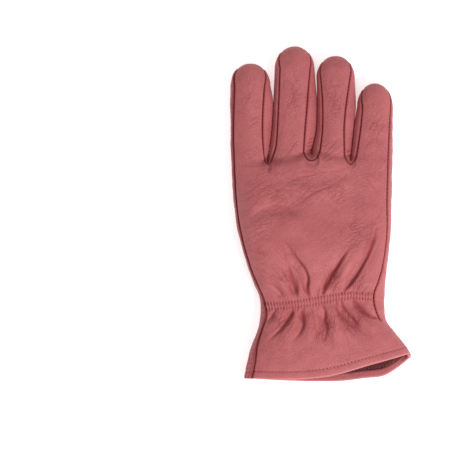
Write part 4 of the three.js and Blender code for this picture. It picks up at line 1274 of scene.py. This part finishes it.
def panel_piece(panel, name):
    """One panel as a closed solid of leather, cut back from its seams."""
    used, flat = np.unique(skin.faces[panel], return_inverse=True)
    tris = flat.reshape(-1, 3)
    points, normals = skin.points[used], skin.normals[used]
    raised, creased, seam = detail_of(panel, used)
    edges = open_edges(tris)
    step = unit(points[edges[:, 1]] - points[edges[:, 0]])
    along = np.zeros_like(points)
    np.add.at(along, edges[:, 0], step)
    np.add.at(along, edges[:, 1], step)
    base = points + unit(np.cross(normals, along)) * SEAM_GAP / 2
    outer = base + normals * raised[:, None]
    thickness = skin.thickness[used][:, None]
    sunk_in = np.minimum(raised + SINK_START, 0)[:, None]
    inner = np.where(thickness < LEATHER, outer, base + normals * sunk_in) - normals * thickness
    x, y = points[:, 0], points[:, 1]
    zeros = np.zeros(len(used))
    mouth = DISTANCE["mouth"][used]
    turned_in = smoothstep(mouth, HEM_WIDTH - FLESH_EDGE, HEM_WIDTH + FLESH_EDGE)
    attributes = {
        "seam": np.concatenate([seam, seam]),
        # crease carries the painted shade of folds, creases and gaps.
        "crease": np.concatenate([creased, zeros]),
        "flesh": np.concatenate([zeros, turned_in]),
        "edge_highlight": np.tile(bump(mouth, EDGE_HIGHLIGHT_WIDTH), 2),
        "fan": np.tile(fan_places(x, y), (2, 1)),
    }
    for mask, zones in ZONES.items():
        attributes[mask] = np.concatenate([zone_mask(zones, x, y) * (panel == "back_panel"), zeros])
    OUTER[panel] = {"used": used, "points": outer, "normals": vertex_normals(outer, tris), "inner": inner}
    obj = build_mesh(name, np.concatenate([outer, inner]), closed_shell(tris, len(used)), attributes)
    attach(obj, "root")
    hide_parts(panel)
    return obj


PIECES = {panel: panel_piece(panel, panel + "_leather") for panel in skin.faces}


# Materials.


def linear(red, green, blue):
    """Linear colour from the 0 to 255 numbers that a picture shows."""
    values = []
    for value in (red, green, blue):
        v = value / 255
        values.append(v / 12.92 if v <= 0.04045 else ((v + 0.055) / 1.055) ** 2.4)
    return tuple(values)


LEATHER_COLOUR = linear(178, 95, 97)
LEATHER_DARK = linear(160, 76, 79)
LEATHER_LIGHT = linear(189, 107, 108)
GRAIN_DARK = linear(134, 54, 56)
GRAIN_LIGHT = linear(204, 130, 131)
# Painted shade in folds, creases, rib valleys, pleats, between the fingers and along the fine ridge lines.
CREASE_SHADE_COLOUR = linear(134, 28, 38)
# Painted highlight along the rolled edge of the hem.
EDGE_HIGHLIGHT_COLOUR = linear(214, 138, 138)  # the rolled edge of the hem
SEAM_COLOUR = linear(116, 18, 28)
# The inside's flesh side, darkened with painted shade of the glove's deep inside.
SHADED_FLESH_COLOUR = linear(88, 26, 32)
THREAD_COLOURS = linear(176, 92, 98), linear(158, 74, 80)
# Needle holes in painted shade.
HOLE_SHADE_COLOURS = linear(84, 22, 30), linear(60, 14, 20)
TAPE_COLOUR = linear(170, 100, 104)
WOBBLE = {"finer": 1.3, "detail": 2.0}  # the noise that bends cracks, against their own cells


class Weaver:
    """A procedural material, with short ways to place and join its nodes."""

    def __init__(self, name, **look):
        self.material = bpy.data.materials.new(name)
        self.material.use_nodes = True
        self.tree = self.material.node_tree
        self.shader = self.tree.nodes["Principled BSDF"]
        self.place = self.make("TexCoord", "Object")
        self.shade(look)

    def put(self, socket, value):
        if isinstance(value, bpy.types.NodeSocket):
            self.tree.links.new(value, socket)
        elif isinstance(value, tuple) and socket.type == "RGBA":
            socket.default_value = (*value, 1)
        else:
            socket.default_value = value

    def shade(self, look):
        """Feeds the shader: base_color goes to its Base Color, and so on."""
        for name, value in look.items():
            self.put(self.shader.inputs[name.replace("_", " ").title().replace("Ior", "IOR")], value)

    def make(self, kind, output, inputs=None, **settings):
        """Places a node, sets it up, feeds its inputs and gives one of its outputs."""
        made = self.tree.nodes.new("ShaderNode" + kind)
        for name, value in settings.items():
            setattr(made, name, value)
        for name, value in (inputs or {}).items():
            self.put(made.inputs[name], value)
        return made.outputs[output]

    def attribute(self, name, output="Fac"):
        return self.make("Attribute", output, attribute_name=name)

    def math(self, operation, one, two):
        return self.make("Math", 0, {0: one, 1: two}, operation=operation)

    def times(self, one, two):
        return self.math("MULTIPLY", one, two)

    def mix(self, factor, one, two):
        return self.make("Mix", 2, {0: factor, 6: one, 7: two}, data_type="RGBA")

    def ramp(self, value, low, high, start=0.0, end=1.0):
        ends = {"From Min": low, "From Max": high, "To Min": start, "To Max": end}
        return self.make("MapRange", "Result", {"Value": value, **ends})

    def turned(self, vector, degrees, scale):
        """A vector turned about Z and then stretched."""
        turn = (0, 0, math.radians(degrees))
        vector = self.make("Mapping", "Vector", {"Vector": vector, "Rotation": turn})
        return self.make("Mapping", "Vector", {"Vector": vector, "Scale": scale})

    def noise(self, vector, scale, detail=3.0, roughness=0.55, output="Fac"):
        inputs = {"Vector": vector, "Scale": scale, "Detail": detail, "Roughness": roughness}
        return self.make("TexNoise", output, inputs)

    def patch(self, x, y, wide, high, strength):
        """A soft round patch: full strength at its middle, none at its rim."""
        moved = {"Vector": self.place, "Location": (x * MM, y * MM, 0), "Scale": (wide * MM, high * MM, 1)}
        vector = self.make("Mapping", "Vector", moved, vector_type="TEXTURE")
        fade = self.make("TexGradient", "Fac", {"Vector": vector}, gradient_type="QUADRATIC_SPHERE")
        return self.times(fade, strength)

    def cells(self, vector, scale, feature):
        return self.make("TexVoronoi", "Distance", {"Vector": vector, "Scale": scale}, feature=feature)

    def cracks(self, vector, scale, width, bend=0.55):
        """Lines between cells that a noise pulls out of shape: 1 on a line, 0 beside it."""
        wobble = self.noise(vector, scale * WOBBLE["finer"], WOBBLE["detail"], output="Color")
        pull = {0: wobble, 1: (bend / scale,) * 3, 2: vector}
        pulled = self.make("VectorMath", "Vector", pull, operation="MULTIPLY_ADD")
        edge = self.cells(pulled, scale, "DISTANCE_TO_EDGE")
        return self.ramp(edge, 0.0, width, 1.0, 0.0)

    def raise_by(self, height, distance):
        """Fine relief of the surface, in metres."""
        self.shade({"normal": self.make("Bump", "Normal", {"Distance": distance, "Height": height})})


NOISE_ENDS = (0.3, 0.7)  # the values of a noise that stand for its two ends


def mottled(name, colour, other, scale, roughness, **look):
    """A material whose colour and roughness a noise carries between two ends."""
    w = Weaver(name, base_color=colour, roughness=roughness[0], **look)
    patches = w.ramp(w.noise(w.place, scale), *NOISE_ENDS)
    w.shade({"base_color": w.mix(patches, colour, other), "roughness": w.ramp(patches, 0, 1, *roughness)})
    return w.material


# Broad patches of painted shade, slightly darker leather colour: middle, half sizes, strength.
SHADES = [
    (2, -10, 46, 26, 0.75),
    (36, -22, 20, 38, 0.7),
    (-12, 30, 26, 12, 0.3),
    (-30, -20, 14, 30, 0.4),
]
# Families of fine creases: mask, degrees from X, stretch, cells per metre, width, strength.
CREASE_FAMILIES = [
    ("fan_creases", 0, (1.0, 0.4, 1.0), 380, 0.13, 1.35),
    ("fan_creases", 0, (1.0, 0.55, 1.0), 640, 0.14, 0.85),
    ("slant_creases", -32, (0.25, 1.0, 1.0), 260, 0.07, 0.9),
    ("slant_creases", -14, (0.4, 1.0, 1.0), 480, 0.11, 0.6),
    ("length_creases", -62, (0.28, 1.0, 1.0), 280, 0.07, 0.9),
    ("length_creases", -20, (0.45, 1.0, 1.0), 460, 0.1, 0.6),
]
CREASES_COME_AND_GO = 75  # cells per metre of the noise that lets the fine creases show or not
EVERYWHERE = {"degrees": 25, "stretch": (0.6, 1, 1), "scale": 420, "width": 0.09, "strength": 0.22}
RIDGES = {"degrees": 40, "stretch": (0.7, 1, 1), "scale": 620, "width": 0.12}
GRAIN_CELLS = 720
PORES = {"scale": 1300, "detail": 3.0, "roughness": 0.7}
# Cells per metre of the two noises that vary the colour, the pull back to the plain one between
# them, and the share of the second.
TONES = {"broad": 34, "fine": 170, "evenness": 0.6, "fine_share": 0.3}
# How strongly each mark is mixed into the colour: painted shade in folds, creases and ridges, the grain's
# own speckle, and the painted highlight on the rolled edge.
COLOUR_SHARES = {"fold": 0.7, "crease": 0.56, "ridge": 0.12, "grain": 0.1, "edge_highlight": 0.7}
RELIEF = {"grain": 0.35, "pores": 0.25, "ridges": 0.25, "distance": 0.0004}
SHEEN = {"roughness": 0.5, "specular_ior_level": 0.3}
ROUGHNESS = (0.42, 0.62)


def fine_creases(w):
    """All the fine creases: 1 on a crease, 0 beside it."""
    slow = w.noise(w.place, CREASES_COME_AND_GO)
    creases = 0.0
    for mask, degrees, stretch, scale, width, strength in CREASE_FAMILIES:
        vector = w.attribute("fan", "Vector") if mask == "fan_creases" else w.place
        lines = w.cracks(w.turned(vector, degrees, stretch), scale, width)
        creases = w.math("MAXIMUM", creases, w.times(w.times(lines, w.attribute(mask)), strength))
    creases = w.times(creases, w.ramp(slow, 0.35, 0.6, 0.25, 1.0))
    vector = w.turned(w.place, EVERYWHERE["degrees"], EVERYWHERE["stretch"])
    lines = w.times(w.cracks(vector, EVERYWHERE["scale"], EVERYWHERE["width"]), w.ramp(slow, 0.4, 0.6))
    return w.math("MAXIMUM", creases, w.times(lines, EVERYWHERE["strength"]))


def leather_material():
    w = Weaver("leather", base_color=LEATHER_COLOUR, **SHEEN)
    creases = fine_creases(w)
    grain = w.cells(w.place, GRAIN_CELLS, "SMOOTH_F1")
    pores = w.noise(w.place, **PORES)
    ridges = w.turned(w.place, RIDGES["degrees"], RIDGES["stretch"])
    ridges = w.cracks(ridges, RIDGES["scale"], RIDGES["width"])
    patchy = w.noise(w.place, TONES["fine"], 4.0, 0.6)
    tone = w.ramp(w.noise(w.place, TONES["broad"]), *NOISE_ENDS)
    colour = w.mix(tone, LEATHER_DARK, LEATHER_LIGHT)
    colour = w.mix(TONES["evenness"], colour, LEATHER_COLOUR)
    fine = w.mix(w.ramp(patchy, *NOISE_ENDS), LEATHER_DARK, LEATHER_LIGHT)
    colour = w.mix(TONES["fine_share"], colour, fine)
    speckled = w.mix(w.ramp(pores, 0.36, 0.64), GRAIN_DARK, GRAIN_LIGHT)
    colour = w.mix(COLOUR_SHARES["grain"], colour, speckled)
    # Painted shade along the fine ridge lines.
    colour = w.mix(w.times(ridges, COLOUR_SHARES["ridge"]), colour, CREASE_SHADE_COLOUR)
    # Painted shade in broad patches.
    for shade in SHADES:
        colour = w.mix(w.patch(*shade), colour, LEATHER_DARK)
    # Painted shade in the folds, the fine creases and the gaps that the crease attribute marks.
    folded = w.times(w.attribute("crease"), COLOUR_SHARES["fold"])
    crease_shade = w.math("MAXIMUM", w.times(creases, COLOUR_SHARES["crease"]), folded)
    colour = w.mix(crease_shade, colour, CREASE_SHADE_COLOUR)
    # Painted shade on the inside's flesh side.
    colour = w.mix(w.attribute("flesh"), colour, SHADED_FLESH_COLOUR)
    # Painted highlight along the rolled edge.
    colour = w.mix(w.times(w.attribute("edge_highlight"), COLOUR_SHARES["edge_highlight"]), colour, EDGE_HIGHLIGHT_COLOUR)
    colour = w.mix(w.attribute("seam"), colour, SEAM_COLOUR)
    w.shade({"base_color": colour, "roughness": w.ramp(patchy, 0.0, 1.0, *ROUGHNESS)})

    height = w.math("ADD", w.times(grain, RELIEF["grain"]), w.times(pores, RELIEF["pores"]))
    height = w.math("SUBTRACT", height, w.times(ridges, RELIEF["ridges"]))
    w.raise_by(w.math("SUBTRACT", height, creases), RELIEF["distance"])
    return w.material


leather = leather_material()
for piece in PIECES.values():
    piece.data.materials.append(leather)


# The elastic tape behind the band.


TAPE_WAVE = {"height": 0.12, "columns": 4}


def wrist_tape():
    grid = skin.sheets[BACK_SHEET]["grid"]
    low, high = ROW_OF["band_lower"], ROW_OF["band_upper"]
    trim = FINGER_COLUMNS // 4
    strip = grid[low:high + 1, trim:-trim]
    points, normals = skin.points[strip], skin.normals[strip]
    columns = np.arange(points.shape[1])[None, :, None]
    wave = TAPE_WAVE["height"] * np.cos(2 * np.pi * columns / TAPE_WAVE["columns"])
    layers = [points - normals * (LEATHER + TAPE_GAP + depth + wave) for depth in (0, TAPE_THICKNESS)]
    top = grid_faces(np.arange(strip.size).reshape(strip.shape))
    points = np.concatenate([layer.reshape(-1, 3) for layer in layers])
    obj = build_mesh("wrist_tape", points, closed_shell(top, strip.size))
    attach(obj, "root")
    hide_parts("wrist_elastic")
    w = Weaver("elastic_tape", base_color=TAPE_COLOUR, roughness=0.9)
    weave = w.make("TexWave", "Fac", {"Vector": w.place, "Scale": 420, "Distortion": 1.2})
    w.raise_by(weave, 0.0003)
    obj.data.materials.append(w.material)


wrist_tape()


# Stitches.


def at_columns(line, normals, columns):
    """Points and normals of a line at fractions of its columns."""
    numbers = np.arange(len(line))
    return between(line, numbers, columns), unit(between(normals, numbers, columns))


def evenly(line, normals, pitch, start=0.0):
    """Points and normals at an even pitch along a line."""
    at = lengths_along(line)
    places = np.arange(start, at[-1], pitch)
    return between(line, at, places), unit(between(normals, at, places))


THREAD_RADIUS = 0.16
THREAD_SIDES = 6
THREAD_RINGS = 7
THREAD_DEPTH, THREAD_ARCH = 0.5, 0.52  # its ends lie this deep, and it rises by this much
THREAD_SUNK = 0.05  # share of a stitch that stays down at each end
THREAD_ROUND = 0.6  # the smaller, the flatter the top of the arch
THREAD_INSET = 0.12  # share of a stitch between a thread's end and the middle of its hole
HOLE_RADIUS = 0.5
HOLE_STRETCH = 1.25  # a needle hole is wider across its row
LENS_SIDES = 8
LENS_RINGS = (0.5, 0.85, 1.0)
LENS_TOP, LENS_CURVE, LENS_BOTTOM = 0.08, 0.12, 0.3
WRIST_HOLE_RADIUS = 0.6
RIBS_END = 2.5  # the band's rows end this far before the seam
HEM_STITCHES = {"pitch": 2.6, "back_start": 1.2, "palm_start": 2.0}
LAP_STITCHES = {"pitch": 3.4, "start": 2.0, "offsets": (3.0, 6.0)}  # offsets from the lap's seam


def ring_faces(start, rings, sides):
    """Faces of a tube through rings of points, numbered from start."""
    faces = []
    for first in range(start, start + (rings - 1) * sides, sides):
        for side in range(sides):
            a, b = first + side, first + (side + 1) % sides
            faces += [(a, a + sides, b), (b, a + sides, b + sides)]
    return faces


def thread_faces():
    """A tube, closed by a fan at each end."""
    last = (THREAD_RINGS - 1) * THREAD_SIDES
    caps = [
        cap for s in range(1, THREAD_SIDES - 1) for cap in ((0, s, s + 1), (last, last + s + 1, last + s))
    ]
    return np.array(ring_faces(0, THREAD_RINGS, THREAD_SIDES) + caps)


def lens_faces():
    """Rings between a point above them and a point below."""
    rings, sides = len(LENS_RINGS), LENS_SIDES
    bottom = 1 + rings * sides
    top_fan = [(0, 1 + s, 1 + (s + 1) % sides) for s in range(sides)]
    rim = bottom - sides
    bottom_fan = [(rim + s, bottom, rim + (s + 1) % sides) for s in range(sides)]
    return np.array(top_fan + ring_faces(1, rings, sides) + bottom_fan)


THREAD_FACES = thread_faces()
LENS_FACES = lens_faces()


class Stitches:
    """Rows of thread and needle holes, gathered into one mesh."""

    def __init__(self):
        self.points, self.tris, self.kinds, self.count = [], [], [], 0

    def add(self, points, tris, kind):
        self.points.append(points)
        self.tris.append(tris + self.count)
        self.kinds.append(np.full(len(tris), kind))
        self.count += len(points)

    def thread(self, start, end, up):
        """One stitch: a short arch of thread that dips into the leather at both ends."""
        way = end - start
        length = np.linalg.norm(way)
        way /= length
        side = unit(np.cross(way, up))
        up = np.cross(side, way)
        t = np.linspace(0, 1, THREAD_RINGS)
        rise = np.sin(np.pi * np.clip(t * (1 + 2 * THREAD_SUNK) - THREAD_SUNK, 0, 1)) ** THREAD_ROUND
        arch = -THREAD_DEPTH + THREAD_ARCH * rise
        path = start + way * (t * length)[:, None] + up * arch[:, None]
        angle = 2 * np.pi * np.arange(THREAD_SIDES) / THREAD_SIDES
        ring = np.cos(angle)[:, None] * side + np.sin(angle)[:, None] * up
        self.add((path[:, None, :] + THREAD_RADIUS * ring[None]).reshape(-1, 3), THREAD_FACES, 0)

    def hole(self, point, up, way, size):
        """A needle hole, as a small dark lens of painted shade let into the leather."""
        side = unit(np.cross(up, way))
        angle = 2 * np.pi * np.arange(LENS_SIDES) / LENS_SIDES
        flat = np.cos(angle)[:, None] * way + np.sin(angle)[:, None] * side * HOLE_STRETCH
        rings = [point + flat * size * r + up * (LENS_TOP - LENS_CURVE * r * r) for r in LENS_RINGS]
        ends = point + up * LENS_TOP, point - up * LENS_BOTTOM
        self.add(np.stack([ends[0], *np.concatenate(rings), ends[1]]), LENS_FACES, 1)

    def row(self, points, ups, size=HOLE_RADIUS):
        for i in range(len(points) - 1):
            way = points[i + 1] - points[i]
            inset = way * THREAD_INSET
            self.thread(points[i] + inset, points[i + 1] - inset, ups[i] + ups[i + 1])
        for i, (point, up) in enumerate(zip(points, ups)):
            way = points[min(i + 1, len(points) - 1)] - points[max(i - 1, 0)]
            self.hole(point, up, unit(way - up * (way @ up)), size)

    def finish(self, name):
        points, tris = np.concatenate(self.points), np.concatenate(self.tris)
        obj = build_mesh(name, points, tris)
        obj.data.materials.append(thread_material)
        obj.data.materials.append(hole_shade_material)
        obj.data.polygons.foreach_set("material_index", np.concatenate(self.kinds).astype(np.int32))
        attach(obj, "root")
        return obj


thread_material = mottled("thread", *THREAD_COLOURS, 3000, (0.5, 0.7))
# Painted shade of the needle holes.
hole_shade_material = mottled("needle_hole_shade", *HOLE_SHADE_COLOURS, 2500, (0.85, 0.95))


def on_panel(panel, numbers, face="points"):
    """The finished panel's points and normals at some points of the skin."""
    finished = OUTER[panel]
    index = np.searchsorted(finished["used"], numbers)
    return finished[face][index], finished["normals"][index]


wrist = Stitches()
back_grid = skin.sheets[BACK_SHEET]["grid"]
band_along = lengths_along(back_hand[ROW_OF["band_lower"], :, :2])
rib_places = np.arange(RIB_PITCH, band_along[-1] - RIBS_END, RIB_PITCH)
rib_columns = np.interp(rib_places, band_along, np.arange(len(band_along)))
for level in ("band_lower", "band_upper"):
    line = on_panel("back_panel", back_grid[ROW_OF[level]])
    wrist.row(*at_columns(*line, rib_columns), WRIST_HOLE_RADIUS)
wrist.finish("wrist_stitches")

hem = Stitches()
line, normals = on_panel("back_panel", back_grid[ROW_OF["hem"] + 1])
hem.row(*evenly(line, normals, HEM_STITCHES["pitch"], HEM_STITCHES["back_start"]))
palm_row = skin.sheets[PALM_SHEET]["grid"][ROW_OF["hem"] + 1, ::-1]
line, normals = on_panel("palm_panel", palm_row, "inner")
hem.row(*evenly(line, -normals, HEM_STITCHES["pitch"], HEM_STITCHES["palm_start"]))
hem.finish("hem_stitches")


def lap_line(distance):
    """A line on the index side's lap at a set distance from its seam."""
    lines, ups = [], []
    for row in skin.sheets[INDEX_LAP]["grid"][:len(back_hand) + FINGER_ROWS]:
        points, normals = on_panel("palm_panel", row[::-1])
        at = lengths_along(points)
        lines.append(between(points, at, distance))
        ups.append(between(normals, at, distance))
    return np.array(lines), np.array(ups)


lap = Stitches()
for offset in LAP_STITCHES["offsets"]:
    lap.row(*evenly(*lap_line(offset), LAP_STITCHES["pitch"], LAP_STITCHES["start"]))
lap.finish("lap_stitches")

# Floor, light and camera.

FLOOR_SIZE, FLOOR_HEIGHT = 2.0, -0.0004
FLOOR_GLOW = {"emission_color": (1, 1, 1), "emission_strength": 0.5}
WORLD_STRENGTH = 0.52
bpy.ops.mesh.primitive_plane_add(size=FLOOR_SIZE, location=(0, 0, FLOOR_HEIGHT))
floor = bpy.context.object
floor.name = "floor"
floor.data.materials.append(mottled("floor", (0.94,) * 3, (0.93,) * 3, 40, (0.85, 0.95), **FLOOR_GLOW))

world = bpy.data.worlds.new("studio")
bpy.context.scene.world = world
world.use_nodes = True
sky = world.node_tree.nodes["Background"].inputs
sky["Color"].default_value = (1, 1, 1, 1)
sky["Strength"].default_value = WORLD_STRENGTH


def area_light(name, place, size, power):
    data = bpy.data.lights.new(name, "AREA")
    data.shape = "RECTANGLE"
    data.size, data.size_y = size
    data.energy = power
    light = bpy.data.objects.new(name, data)
    light.location = place
    light.rotation_euler = (-Vector(place)).to_track_quat("-Z", "Y").to_euler()
    bpy.context.scene.collection.objects.link(light)


area_light("key", (0.7, -0.74, 1.05), (0.5, 0.4), 18)
area_light("fill", (-0.4, 0.8, 1.6), (1.2, 1.2), 5)

FRAME_WIDTH = 328.4 * MM
FRAME_CENTRE = (-65.0 * MM, -11.4 * MM)
CAMERA_HEIGHT = 3.0
FRAMED_HEIGHT = 0.015  # the level at which the frame has its width
SENSOR = 36.0
camera_data = bpy.data.cameras.new("camera")
camera_data.sensor_width = SENSOR
camera_data.lens = SENSOR * (CAMERA_HEIGHT - FRAMED_HEIGHT) / FRAME_WIDTH
camera_data.clip_end = 20
camera = bpy.data.objects.new("camera", camera_data)
camera.location = (*FRAME_CENTRE, CAMERA_HEIGHT)
bpy.context.scene.collection.objects.link(camera)
bpy.context.scene.camera = camera
bpy.context.scene.view_settings.view_transform = "Standard"
